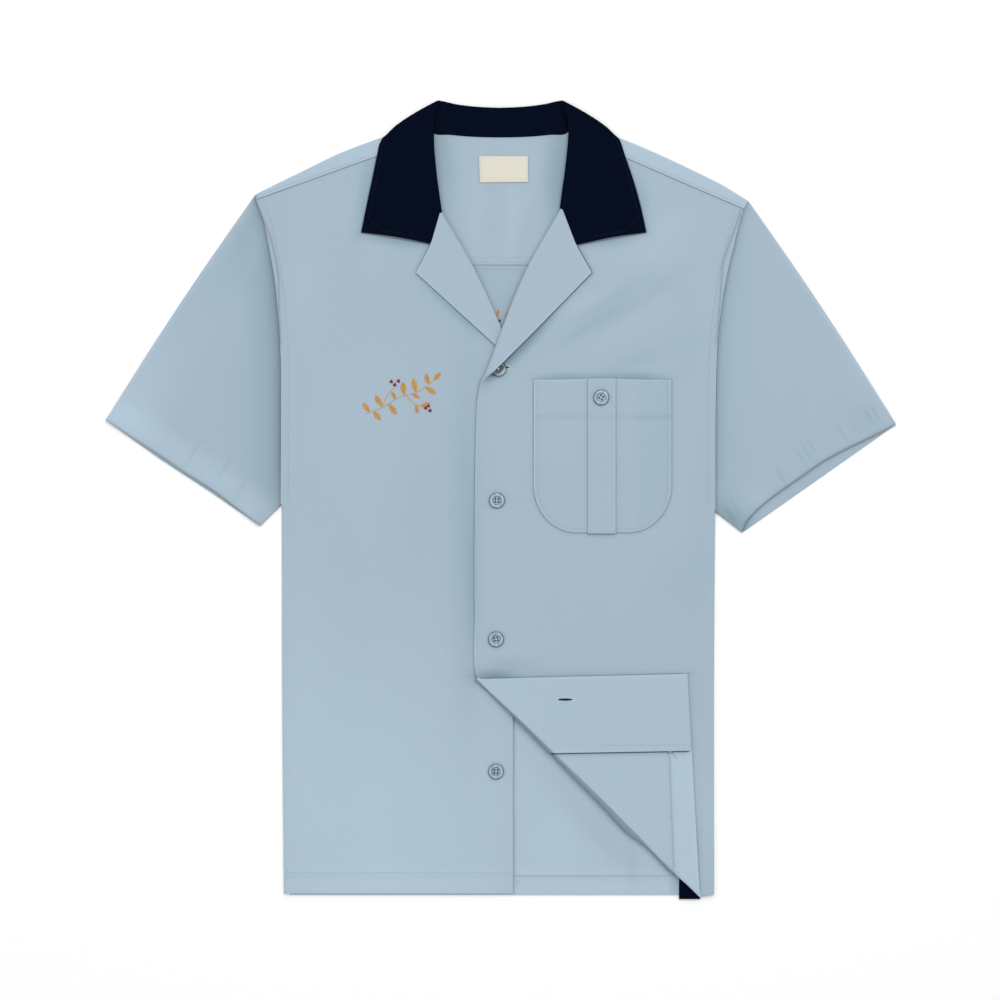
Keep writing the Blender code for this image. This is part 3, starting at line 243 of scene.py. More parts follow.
SWELLS = (  # x, y, angle in degrees, length, width, height
    (-105, -150, 84, 170, 55, 1.3), (-150, 80, 88, 90, 30, 1), (112, -40, 96, 150, 55, 1.2),
    (124, 208, 40, 85, 27, 1.2), (-130, 225, -48, 70, 28, 0.9))
SOFT_CREASES = (
    (140, 200, 38, 75, 9, 1.1), (112, 165, 38, 60, 9, -0.9), (100, 215, 50, 45, 8, -0.6),
    (-157, -190, 89, 130, 4.5, 0.28), (-146, -215, 91, 120, 5.5, -0.22), (-176, -60, 82, 90, 8, 0.3),
    (-92, -255, 93, 90, 7, 0.22), (-118, 150, 70, 55, 10, -0.35), (-60, 190, 52, 45, 9, 0.35),
    (-170, 190, 65, 45, 9, 0.35), (60, -95, 84, 60, 11, -0.35), (150, -110, 96, 70, 10, 0.3),
    (176, 30, 92, 95, 9, 0.28), (10, -150, 8, 42, 9, 0.8), (14, -160, 5, 34, 5, -0.7),
    (30, 40, 80, 70, 12, 0.25))
CREASE_MARGIN = 32.0  # the mounds ease away towards the side, hem and armhole seams
GUSSET_LIFT, LAPEL_BUMP, LAPEL_BUMP_AT, LAPEL_BUMP_REACH = 0.7, 1.4, (4.0, 148.0), (18.0, 58.0)
FACING_X, FACING_STEP = -60.0, 0.3  # the right front's facing shows through as a low step


def mounds(x, y, table):
    """Sum of soft mounds: height * exp(-(along/length)^2 - (across/width)^2), each turned by its angle."""
    total = 0.0
    for cx, cy, angle, length, width, height in table:
        turn = math.radians(angle)
        along = (x - cx) * math.cos(turn) + (y - cy) * math.sin(turn)
        across = (y - cy) * math.cos(turn) - (x - cx) * math.sin(turn)
        total = total + height * np.exp(-((along / length) ** 2) - (across / width) ** 2)
    return total


def corner_round(share):
    """How far the fold's round stands out past its line: most below its middle, where the cloth is slack."""
    at, out = np.transpose(CORNER_ROUND)
    return spline(at, out[:, None], np.ravel(share))[:, 0].reshape(np.shape(share))


def neck_lift(x, y):
    """The lift over the collar: full near the back neck and eased away round an ellipse."""
    reach = ((x - LIFT_CENTRE[0]) / LIFT_REACH[0]) ** 2 + ((y - LIFT_CENTRE[1]) / LIFT_REACH[1]) ** 2
    return COLLAR_LIFT * smooth((LIFT_NONE - reach) / (LIFT_NONE - LIFT_FULL))


def yoke_height(x, y):
    """The back's and the yoke's wall, on the floor or over the collar."""
    return FLOOR + neck_lift(x, y)


def front_height(x, y):
    """The lower front's wall: level at its seams, lifted at the neck, with swells and creases between."""
    margin = smooth(np.minimum(206.0 - np.abs(x), y - HEM_Y) / CREASE_MARGIN)
    return FRONT_HEIGHT + neck_lift(x, y) + margin * (mounds(x, y, SWELLS) + mounds(x, y, SOFT_CREASES))


def right_front_height(x, y):
    """The lower front with the low step over the edge of its facing."""
    step = smooth((x - FACING_X) / 3.0) * smooth((FRONT_EDGE_RIGHT - x) / 30.0) * smooth((120.0 - y) / 60.0)
    return front_height(x, y) + FACING_STEP * step


def upper_front_height(x, y):
    """The upper front's wall: higher where it lies over the lower front, a lapel's end or the gusset."""
    height = front_height(x, y) + OVERLAP_LIFT * smooth((40.0 - x) / 24.0)
    away, (near, far) = np.hypot(x - LAPEL_BUMP_AT[0], y - LAPEL_BUMP_AT[1]), LAPEL_BUMP_REACH
    height = height + LAPEL_BUMP * smooth((far - away) / (far - near))
    return height + GUSSET_LIFT * smooth((x - 120.0) / 40.0) * smooth((-295.0 - y) / 40.0)

# %% [markdown]
# ## Cloth as a mesh
#
# A piece of cloth is one or more grids of points that share their edges: the panel of a front, its
# lapel and its turn under at the side are one cut of cloth. The grids are joined, their normals are
# made to agree, and a Solidify modifier gives the thickness, half to each side.
#
# Three things are written into the mesh for the materials to read. The UV map holds lengths measured
# over the cloth in metres, so the weave keeps its size round every fold. The tone attribute is painted
# light and shade: the colour made lighter or darker where light would fall on the cloth or be kept off
# it. `seam` is the distance to the nearest row of stitches with its sign, and `seam_run` how far along
# it one is: a distance grows evenly, so a coarse mesh carries it exactly, and the shader can draw a sewn
# channel far finer than the faces. `edge` is the same for the edges of cloth, along which a thin painted
# shadow or painted highlight is drawn.

# %% Meshes from grids
FAR = 60.0  # distance that stands for "no seam near"
SEAM_FADE, EDGE_FADE = (7.0, 3.0), (9.0, 4.0)  # a line's reach, and the last stretch, where it fades
WELD = 0.00001  # metres within which points of two grids are one


def new_mesh(name, points, face_sets):
    """A mesh from points in millimetres and arrays of faces, one array for each number of corners."""
    mesh = bpy.data.meshes.new(name)
    mesh.vertices.add(len(points))
    mesh.vertices.foreach_set("co", (np.asarray(points, float) * MM).ravel())
    corners = np.concatenate([f.ravel() for f in face_sets])
    sizes = np.concatenate([np.full(len(f), f.shape[1]) for f in face_sets])
    mesh.loops.add(len(corners))
    mesh.loops.foreach_set("vertex_index", corners.astype(np.int32))
    mesh.polygons.add(len(sizes))
    mesh.polygons.foreach_set("loop_start", (np.cumsum(sizes) - sizes).astype(np.int32))
    mesh.update(calc_edges=True)
    mesh.validate()
    return mesh, corners


def grid_faces(rows, columns, first=0):
    """Four corners for each cell of a grid of points that are numbered row by row."""
    k = first + np.arange(rows * columns).reshape(rows, columns)
    return np.stack([k[:-1, :-1], k[:-1, 1:], k[1:, 1:], k[1:, :-1]], -1).reshape(-1, 4)


def unrolled(grid, grain):
    """Lengths over the cloth in metres: along each row and each column, from where its first point lies."""
    across = np.linalg.norm(np.diff(grid, axis=1), axis=-1)
    down = np.linalg.norm(np.diff(grid, axis=0), axis=-1)
    u = np.pad(np.cumsum(across, 1), ((0, 0), (1, 0))) + (grid[:, :1, :2] @ grain)
    v = np.pad(np.cumsum(down, 0), ((1, 0), (0, 0))) + (grid[:1, :, :2] @ [-grain[1], grain[0]])
    return np.stack([u, v], -1).reshape(-1, 2) * MM


def beside(points, lines, inside=None):
    """The nearest of the lines to each plan point: signed distance, length along, number, plain distance.

    Every line counts the place `inside`, or else the middle of the points, as its positive side, so the sign
    doesn't jump between lines.
    """
    points = np.concatenate([points, [points.mean(0) if inside is None else inside]])
    every = np.arange(len(points))
    distance, along = np.full(len(points), FAR), np.zeros(len(points))
    which, nearest = np.full(len(points), -1), np.full(len(points), np.inf)
    for number, line in enumerate(lines):
        line = np.asarray(line, float)[:, :2]
        step = np.diff(line, axis=0)
        length = np.maximum(np.linalg.norm(step, axis=1), 1e-6)
        away = points[:, None] - line[None, :-1]
        share = np.clip(np.sum(away * step, -1) / length ** 2, 0.0, 1.0)
        gap = np.linalg.norm(away - share[..., None] * step, axis=-1)
        square = np.abs(step[:, 0] * away[..., 1] - step[:, 1] * away[..., 0]) / length
        i = (gap - 0.001 * square).argmin(1)  # at a corner, the leg that the point lies more squarely beside
        side = np.sign(step[i, 0] * away[every, i, 1] - step[i, 1] * away[every, i, 0] + 1e-12)
        run = (np.cumsum(length) - length)[i] + share[every, i] * length[i]
        gap = gap[every, i]
        nearer = gap < nearest
        distance = np.where(nearer, side * side[-1] * gap, distance)
        along, which = np.where(nearer, run, along), np.where(nearer, number, which)
        nearest = np.minimum(nearest, gap)
    return np.clip(distance, -FAR, FAR)[:-1], along[:-1], which[:-1], nearest[:-1]


def add_object(name, mesh, finish):
    """A smooth-shaded object with one material, linked to the scene."""
    mesh.shade_smooth()
    mesh.materials.append(finish)
    made = bpy.data.objects.new(name, mesh)
    bpy.context.scene.collection.objects.link(made)
    return made


def cloth(name, grids, finish, seams=(), edges=(), tones=(), grain=(1.0, 0.0), wall=WALL, inside=None):
    """One piece of cloth from grids of middle points. `seams`, `edges` and `tones` follow the grids' order.

    An edge is a line with an amount: less than nothing for painted shade, the shade that a piece on top
    throws on this one; more for painted light, a highlight along the pressed edge of the piece itself.
    """
    points = np.concatenate([g.reshape(-1, 3) for g in grids])
    starts = np.cumsum([0] + [g.shape[0] * g.shape[1] for g in grids])
    faces = [grid_faces(*g.shape[:2], first) for g, first in zip(grids, starts)]
    mesh, corners = new_mesh(name, points, faces)
    uv = np.concatenate([unrolled(g, np.array(grain)) for g in grids])
    mesh.uv_layers.new(name="cloth").data.foreach_set("uv", uv[corners].ravel())
    plans = [g.reshape(-1, 3)[:, :2] for g in grids]
    seams, edges, tones = (list(rows) + [other] * (len(grids) - len(rows))
                           for rows, other in ((seams, ()), (edges, ()), (tones, plain_tone)))
    stitched = [beside(plan, lines) for plan, lines in zip(plans, seams)]
    touched = [beside(plan, [line for line, _ in pairs], inside) for plan, pairs in zip(plans, edges)]
    amounts = [np.array([amount for _, amount in pairs] + [0.0])[found[2]]
               for pairs, found in zip(edges, touched)]
    values = {"seam": [found[0] for found in stitched], "seam_run": [found[1] for found in stitched],
              "seam_near": [smooth((SEAM_FADE[0] - found[3]) / SEAM_FADE[1]) for found in stitched],
              "edge": [found[0] for found in touched],
              "edge_painted_light": [amount * smooth((EDGE_FADE[0] - found[3]) / EDGE_FADE[1])
                            for amount, found in zip(amounts, touched)],
              "painted_light": [painted_light(*plan.T) for painted_light, plan in zip(tones, plans)]}
    values = {key: np.concatenate(parts) for key, parts in values.items()}
    for key, value in values.items():
        mesh.attributes.new(key, "FLOAT", "POINT").data.foreach_set("value", value.astype(np.float32))
    bm = bmesh.new()
    bm.from_mesh(mesh)
    bmesh.ops.remove_doubles(bm, verts=bm.verts, dist=WELD)
    bmesh.ops.dissolve_degenerate(bm, edges=bm.edges, dist=WELD)
    bmesh.ops.recalc_face_normals(bm, faces=bm.faces)
    area = sum(face.calc_area() for face in bm.faces)
    bm.to_mesh(mesh)
    bm.free()
    piece = add_object(name, mesh, finish)
    solid = piece.modifiers.new("wall", "SOLIDIFY")
    solid.thickness = wall * MM
    solid.offset = 0.0
    level = piece.modifiers.new("level", "WEIGHTED_NORMAL")  # broad faces decide the shading along an edge
    level.weight = 90
    print(f"{name}: {len(mesh.polygons)} faces, cloth area {area:.4f} m2")
    piece["cloth_area"] = area
    return piece


def declare(piece, rests_on=()):
    """Hang a sheet of cloth on the shirt: it rides on the shirt and stands for its solid, which is hidden."""
    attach(piece, "root")
    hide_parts(piece.name.removesuffix("_cloth"))
    list(rests_on)


# %% [markdown]
# ## Threads
#
# A row of stitches is the same small thing hundreds of times over: a thread comes up, lies on the
# cloth for two or three millimetres and goes down again. `thread_mesh` makes all of them at once, a ring
# of five points round each point of each path, drawn in at the ends. `drape` finds how high the cloth
# lies under a point, so that a row drawn in plan lies on whatever carries it.

# %% Threads and the rows they lie in
STITCH_PITCH, STITCH_LENGTH, STITCH_RADIUS = 3.1, 2.3, 0.2
STITCH_SIDES = 5
STITCH_SHAPE = ((-0.5, -0.20), (-0.36, 0.05), (0.36, 0.05), (0.5, -0.20))  # share of the length, height


def drape(plan, grid):
    """Heights of a grid under plan points: the nearest grid point, and the slopes of the grid there."""
    down, across = np.gradient(grid, axis=0), np.gradient(grid, axis=1)
    flat, down, across = (a.reshape(-1, 3) for a in (grid, down, across))
    shape = plan.shape[:-1]
    plan = plan.reshape(-1, 2)
    parts = np.array_split(plan, len(plan) // 200 + 1)
    nearest = np.concatenate([((part[:, None] - flat[None, :, :2]) ** 2).sum(-1).argmin(1) for part in parts])
    away = plan - flat[nearest, :2]
    (a, c), (b, d) = down[nearest, :2].T, across[nearest, :2].T
    turn = a * d - b * c
    turn = np.where(np.abs(turn) < 1e-9, 1.0, turn)
    rows, columns = (away[:, 0] * d - away[:, 1] * b) / turn, (away[:, 1] * a - away[:, 0] * c) / turn
    rows, columns = np.clip(rows, -1.5, 1.5), np.clip(columns, -1.5, 1.5)
    return (flat[nearest, 2] + rows * down[nearest, 2] + columns * across[nearest, 2]).reshape(shape)


def thread_mesh(paths, radius, sides=STITCH_SIDES, ends=0.4):
    """Points and faces of round threads along paths, an array (threads, points, 3), with closed ends.

    Each ring is centre + radius * (cos * side + sin * up), the side square to the path and level.
    """
    along = unit(np.gradient(paths, axis=1))
    side = unit(np.cross(along, [0.0, 0.0, 1.0]) + [1e-9, 0.0, 0.0])
    up = np.cross(side, along)
    turn = np.linspace(0.0, 2 * math.pi, sides, endpoint=False)[:, None]
    size = np.full(paths.shape[1], float(radius))
    size[[0, -1]] *= ends
    ring = np.cos(turn) * side[:, :, None] + np.sin(turn) * up[:, :, None]
    points = paths[:, :, None] + size[None, :, None, None] * ring
    count, steps = paths.shape[:2]
    k = np.arange(count * steps * sides).reshape(count, steps, sides)
    ahead = np.roll(k, -1, 2)
    walls = np.stack([k[:, :-1], ahead[:, :-1], ahead[:, 1:], k[:, 1:]], -1).reshape(-1, 4)
    return points.reshape(-1, 3), [walls, k[:, 0, ::-1].reshape(-1, sides), k[:, -1].reshape(-1, sides)]


def gathered(parts):
    """Several (points, faces) put together, with the faces numbered on."""
    points = np.concatenate([p for p, _ in parts])
    starts = np.cumsum([0] + [len(p) for p, _ in parts])
    return points, [faces + first for (_, sets), first in zip(parts, starts) for faces in sets]


def stitch_row(line, grid, lift, pitch=STITCH_PITCH, length=STITCH_LENGTH, radius=STITCH_RADIUS, skip=0.0):
    """Stitches along a plan line, on a grid of cloth: one path of four points for each stitch."""
    line = np.asarray(line, float)
    run = np.concatenate([[0.0], np.cumsum(np.linalg.norm(np.diff(line, axis=0), axis=1))])
    count = max(2, int((run[-1] - 2 * skip) / pitch))
    middle = np.linspace(skip + pitch / 2, run[-1] - skip - pitch / 2, count)
    shape = np.array(STITCH_SHAPE)
    at = middle[:, None] + shape[:, 0] * length
    plan = np.stack([np.interp(at, run, line[:, 0]), np.interp(at, run, line[:, 1])], -1)
    height = drape(plan, grid) + lift + shape[:, 1] * radius / 0.2
    return thread_mesh(raised(plan, height), radius)


def inset(line, distance):
    """A plan line moved sideways: each point goes `distance` along the line's normal."""
    line = np.asarray(line, float)
    return line + plan_normal(line) * distance


def sewn(name, rows, finish):
    """All the rows of stitches of one place, as one object."""
    points, faces = gathered(rows)
    mesh, _ = new_mesh(name, points, faces)
    piece = add_object(name, mesh, finish)
    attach(piece, "root")
    print(f"{name}: {sum(len(f) for f in faces)} faces")

# %% [markdown]
# ## Finishes
#
# The shirt is a smooth cotton of twill weight in pale blue, with navy for the collar. Cloth looks
# like cloth through its threads: each material draws warp and weft with two wave textures in the
# cloth's own lengths, a little uneven, and gives them height as well as colour. The seam attributes
# add the sewn channel, with a little painted shade in it, and the small puckers across it. The tone
# and edge attributes multiply painted light and shade into the colour. What is the same all over,
# such as the sheen, is set on the shader itself.

# %% Building materials from nodes
PALE = (0.338, 0.430, 0.510)
NAVY = (0.0022, 0.0044, 0.0128)
CREAM = (0.640, 0.615, 0.530)
PEARL = (0.245, 0.325, 0.410)
GOLD = (0.640, 0.330, 0.060)
WINE = (0.190, 0.022, 0.020)


def node(tree, kind, inputs, **settings):
    """Add a node with its settings. Each input takes a value, or the output of another node to link."""
    made = tree.nodes.new("ShaderNode" + kind)
    for key, value in settings.items():
        setattr(made, key, value)
    for key, value in inputs.items():
        if isinstance(value, bpy.types.NodeSocket):
            tree.links.new(value, made.inputs[key])
        else:
            made.inputs[key].default_value = value
    return made


def sums(tree, first, *steps):
    """A chain of Math nodes: each step is (operation, value or output), applied to what came before."""
    for operation, value in steps:
        first = node(tree, "Math", {0: first, 1: value}, operation=operation).outputs[0]
    return first


def finish_of(name, colour, roughness, sheen=0.0, coat=0.0, shine=0.35):
    """A material whose shader has its constant values set, and its node tree."""
    made = bpy.data.materials.new(name)
    made.use_nodes = True
    made.diffuse_color = (*colour, 1.0)
    shader = made.node_tree.nodes["Principled BSDF"]
    for key, value in (("Roughness", roughness), ("Sheen Weight", sheen), ("Coat Weight", coat),
                       ("Coat Roughness", 0.12), ("Specular IOR Level", shine), ("Sheen Roughness", 0.5)):
        shader.inputs[key].default_value = value
    return made, made.node_tree, shader


def coloured(tree, shader, colour, factor, height):
    """Base colour times a factor, and a bump from a height in metres."""
    mixed = node(tree, "Mix", {"Factor": 1.0, 6: (*colour, 1.0)}, data_type="RGBA", blend_type="MULTIPLY")
    tree.links.new(factor, mixed.inputs[7])
    tree.links.new(mixed.outputs[2], shader.inputs["Base Color"])
    bump = node(tree, "Bump", {"Strength": 1.0, "Distance": 1.0, "Height": height})
    tree.links.new(bump.outputs[0], shader.inputs["Normal"])


def wave_scale(period):
    """Scale of a wave texture with bands so many metres apart: its sine has 20 * scale radians a metre."""
    return 2 * math.pi / (20 * period)


def woven(name, colour, period, twill=0.0, depth=0.00003, contrast=0.1, roughness=0.85, sheen=0.15,
          shine=0.35):
    """Cloth of warp and weft threads `period` metres apart; `twill` leans the weft lines over as ribs."""
    made, tree, shader = finish_of(name, colour, roughness, sheen, shine=shine)
    lengths = node(tree, "UVMap", {}, uv_map="cloth").outputs[0]
    place = node(tree, "TexCoord", {}).outputs["Object"]
    ribs = {"Scale": wave_scale(period), "Distortion": 0.6, "Detail": 1.0, "Detail Scale": 2.0}
    threads = []
    for direction, turn in (("X", twill), ("Y", 0.0)):
        turned = node(tree, "Mapping", {0: lengths, "Rotation": (0.0, 0.0, turn)}).outputs[0]
        threads.append(node(tree, "TexWave", {0: turned, **ribs}, bands_direction=direction).outputs["Fac"])
    warp, weft = (0.9, 0.1) if twill else (0.5, 0.5)  # how much of each shows
    weave = sums(tree, threads[0], ("MULTIPLY", warp), ("ADD", sums(tree, threads[1], ("MULTIPLY", weft))))
    slub = node(tree, "TexNoise", {0: lengths, "Scale": 420.0, "Detail": 3.0}).outputs[0]
    cloud = node(tree, "TexNoise", {0: place, "Scale": 9.0, "Detail": 3.0}).outputs[0]
    seam, run, painted_light, near, edge, edge_painted_light = (
        node(tree, "Attribute", {}, attribute_name=key).outputs["Fac"]
        for key in ("seam", "seam_run", "painted_light", "seam_near", "edge", "edge_painted_light"))
    away, beyond = (node(tree, "Math", {0: value}, operation="ABSOLUTE").outputs[0] for value in (seam, edge))
    groove, pull, rim, soft = (
        node(tree, "MapRange", {0: value, 1: low, 2: high, 3: 1.0, 4: 0.0},
             interpolation_type="SMOOTHSTEP").outputs[0]
        for value, low, high in ((away, 0.1, 1.1), (away, 0.5, 7.5), (beyond, 0.3, 1.5), (beyond, 0.5, 6.0)))
    rim = sums(tree, rim, ("MULTIPLY", 0.8), ("ADD", sums(tree, soft, ("MULTIPLY", 0.18))))
    groove, pull = (sums(tree, value, ("MULTIPLY", near)) for value in (groove, pull))
    along_seam, off_seam = sums(tree, run, ("MULTIPLY", 0.22)), sums(tree, seam, ("MULTIPLY", 0.05))
    across = node(tree, "CombineXYZ", {0: along_seam, 1: off_seam}).outputs[0]
    ripple = node(tree, "TexNoise", {0: across, "Scale": 1.0, "Detail": 2.0}).outputs[0]
    pucker = sums(tree, ripple, ("MULTIPLY", pull))
    # The colour carries painted light and shade: the tone, the painted shadows and highlights along edges,
    # and painted shade in the sewn channel
    factor = sums(tree, weave, ("MULTIPLY", contrast), ("ADD", 1.0 - contrast / 2),
                  ("ADD", sums(tree, slub, ("SUBTRACT", 0.5), ("MULTIPLY", 0.10))),
                  ("ADD", sums(tree, cloud, ("SUBTRACT", 0.5), ("MULTIPLY", 0.05))),
                  ("SUBTRACT", sums(tree, groove, ("MULTIPLY", 0.015))),
                  ("ADD", sums(tree, rim, ("MULTIPLY", edge_painted_light))), ("MULTIPLY", painted_light))
    # Painted shade is a little bluer: the red drops further where the tone is below one
    red = sums(tree, painted_light, ("MINIMUM", 1.0), ("MAXIMUM", 0.88), ("POWER", 0.6), ("MULTIPLY", factor))
    tinted = node(tree, "CombineColor", {0: red, 1: factor, 2: factor}).outputs[0]
    height = sums(tree, weave, ("MULTIPLY", depth), ("ADD", sums(tree, slub, ("MULTIPLY", depth * 0.6))),
                  ("ADD", sums(tree, pucker, ("MULTIPLY", 0.0009))),
                  ("SUBTRACT", sums(tree, groove, ("MULTIPLY", 0.00012))))
    coloured(tree, shader, colour, tinted, height)
    return made


def spun(name, colour, roughness=0.6, sheen=0.2):
    """Sewing thread: short ribs along and a little unevenness, in object coordinates."""
    made, tree, shader = finish_of(name, colour, roughness, sheen)
    place = node(tree, "TexCoord", {}).outputs["Object"]
    fibre = node(tree, "TexNoise", {0: place, "Scale": 1800.0, "Detail": 2.0}).outputs[0]
    patchy = node(tree, "TexNoise", {0: place, "Scale": 120.0, "Detail": 1.0}).outputs[0]
    factor = sums(tree, fibre, ("MULTIPLY", 0.35), ("ADD", 0.72),
                  ("ADD", sums(tree, patchy, ("MULTIPLY", 0.2))))
    coloured(tree, shader, colour, factor, sums(tree, fibre, ("MULTIPLY", 0.00008)))
    return made


def pearly(name, colour):
    """Moulded pearl plastic: faint wavy layers under a glossy coat."""
    made, tree, shader = finish_of(name, colour, 0.3, coat=0.6)
    place = node(tree, "TexCoord", {}).outputs["Object"]
    waves = {"Scale": wave_scale(0.006), "Distortion": 9.0, "Detail": 3.0, "Detail Scale": 1.5}
    layers = node(tree, "TexWave", {0: place, **waves}).outputs["Fac"]
    grain = node(tree, "TexNoise", {0: place, "Scale": 900.0, "Detail": 2.0}).outputs[0]
    # The tone attribute paints light and shade into the plastic's colour: shaded rings, dark holes and the
    # lapel's shadow
    painted_light = node(tree, "Attribute", {}, attribute_name="painted_light").outputs["Fac"]
    factor = sums(tree, layers, ("MULTIPLY", 0.3), ("ADD", 0.8),
                  ("ADD", sums(tree, grain, ("MULTIPLY", 0.12))), ("MULTIPLY", painted_light))
    coloured(tree, shader, colour, factor, sums(tree, grain, ("MULTIPLY", 0.00001)))
    return made


pale_cloth = woven("pale_cotton", PALE, 0.00055)
navy_cloth = woven("navy_twill", NAVY, 0.0008, twill=math.radians(60.0), contrast=0.5, depth=0.00006,
                   roughness=1.0, sheen=0.0, shine=0.0)
label_satin = woven("label_satin", CREAM, 0.0007, contrast=0.16, roughness=0.5, sheen=0.1)
pale_thread = spun("pale_thread", tuple(1.03 * c for c in PALE))
# Navy thread for the collar's stitches, also the painted shade in the buttonhole slits
navy_thread = spun("navy_thread", (0.0040, 0.0075, 0.0200), 0.9, 0.0)
white_thread = spun("white_thread", (0.52, 0.58, 0.62))
light_thread = spun("light_thread", (0.58, 0.68, 0.76))
gold_thread = spun("gold_thread", GOLD, 0.45)
wine_thread = spun("wine_thread", WINE, 0.5)
pearl_plastic = pearly("pearl_plastic", PEARL)
print("materials:", sorted(m.name for m in bpy.data.materials))

# %% [markdown]
# ## The fronts
#
# Each front is one cut of cloth: the panel, the lapel that folds back along the roll, and a narrow turn
# under at the side. A fold is a half circle that carries the cloth from one height to the next, which
# keeps it round where a sharp edge would look like card. The rows of the panel run on into the lapel,
# so both share the points on the roll.

# %% Folds
ARC_STEPS = 8
SHORTEST_FLAP, PRESSED = 0.35, 0.45
FINE = 7  # rows of cloth for each row of the solid
SIDE_STEPS, LAPEL_STEPS, NECK_STEPS = 112, 12 * FINE, 3 * FINE
POINT_Y = {  # rows of the roll from beside the lapel's point up to the gorge
    RIGHT: (232.0, 243.0, 257.0, 273.4), LEFT: (232.0, 243.0, 257.0, 276.8)}
POINT_STEPS = FINE * (len(POINT_Y[RIGHT]) - 1)
PAST_BUTTON_Y = 137.0
FRONT_COLUMNS = 74
FLAP_STEPS, CORNER_STEPS, VENT_STEPS = 22, 44, 4
GORGE_ROW = {RIGHT: 255.0, LEFT: 250.0}  # y of the armhole end of the row that meets the gorge
ROLL_RADIUS, BREAK_RADIUS, GORGE_SHARE, FLAP_REST = 2.1, 0.75, 0.36, 1.8


def subdivided(points, steps):
    """A line with each of its legs cut into equal steps."""
    points = np.asarray(points, float)
    at = np.arange((len(points) - 1) * steps + 1) / steps
    return np.stack([np.interp(at, np.arange(len(points)), c) for c in points.T], 1)


def round_fold(line, outward, first, last):
    """Half circles that carry the cloth from the heights `first` to `last`, inside a silhouette."""
    radius = np.abs(first - last)[:, None] / 2
    turn = np.linspace(0.0, math.pi, ARC_STEPS + 1)[None, :]
    arc = line[:, None] - outward[:, None] * (SOLID_WALL / 2 + radius * (1 - np.sin(turn)))[..., None]
    return raised(arc, ((first + last)[:, None] + (first - last)[:, None] * np.cos(turn)) / 2)


def turned_flap(line, outward, outer, radius, base, rest, share, clearance, settled):
    """A fold from the cloth up and over itself, and the flap it turns back: a row for each point of `line`.

    A row goes round a half circle, then eases down to lie `rest` above the cloth at the outer edge. `settled`
    is less than one where the flap starts and is pressed flat.
    """
    radius, share, settled = (np.broadcast_to(a, len(line))[:, None] for a in (radius, share, settled))
    rest = PRESSED + (rest - PRESSED) * settled
    start = line - outward * (SOLID_WALL / 2 + radius)
    low = base(start[:, 0], start[:, 1])[:, None]
    turn = np.linspace(0.0, math.pi, ARC_STEPS + 2)[None, :]
    arc = line[:, None] - outward[:, None] * (SOLID_WALL / 2 + radius * (1 - np.sin(turn)))[..., None]
    arc = raised(arc, low + radius * (1 - np.cos(turn)))
    reach = outer - start
    short = -np.sum(reach * outward, axis=1) < SHORTEST_FLAP
    reach[short] = -outward[short] * SHORTEST_FLAP
    across = np.linspace(0.0, 1.0, FLAP_STEPS + 1)[None, 1:]
    flap = start[:, None] + reach[:, None] * across[..., None]
    rise = rest + (2 * radius - rest) * (1 - share * across) ** 1.5
    if clearance is not None:
        rise = np.maximum(rise, clearance(flap[..., 0], flap[..., 1]) * settled)
    return np.concatenate([arc, raised(flap, base(flap[..., 0], flap[..., 1]) + rise)], 1)


def armhole_rows(hand):
    """Armhole seam of a front from the underarm up to the yoke, a point for each row."""
    armhole = ARMHOLE[hand]
    gorge = GORGE_ROW[hand]
    seam = FORWARD_SEAM[hand][0][1] - SEAM_GAP / 2
    return edge_at(armhole, stations((armhole[0][1], gorge, LAPEL_STEPS), (gorge, seam, NECK_STEPS)))


def side_fold(hand, hem_y, base):
    """A front's fold at its side: silhouette, outward direction and height, from the hem to the underarm."""
    line = edge_at(SIDE[hand], np.linspace(hem_y, ARMHOLE[hand][0][1], SIDE_STEPS + 1))
    return line, -hand * plan_normal(line), base(line[:, 0] - hand * FOLD_RADIUS, line[:, 1])


def lapel_stations(hand, *legs):
    """The y on the roll of a lapel's rows, from the break up to the gorge."""
    return stations(*legs, *((low, high, FINE) for low, high in zip(POINT_Y[hand], POINT_Y[hand][1:])))


def lapel_edge(outer):
    """Outer edge of a lapel from its break up to the notch, with a row at its point."""
    lower = polyline(outer[1:], np.linspace(0.0, 1.0, LAPEL_STEPS - POINT_STEPS + 1))
    upper = polyline(outer[:2], np.linspace(0.0, 1.0, POINT_STEPS + 1))
    return np.concatenate([upper, lower[1:]])[::-1]


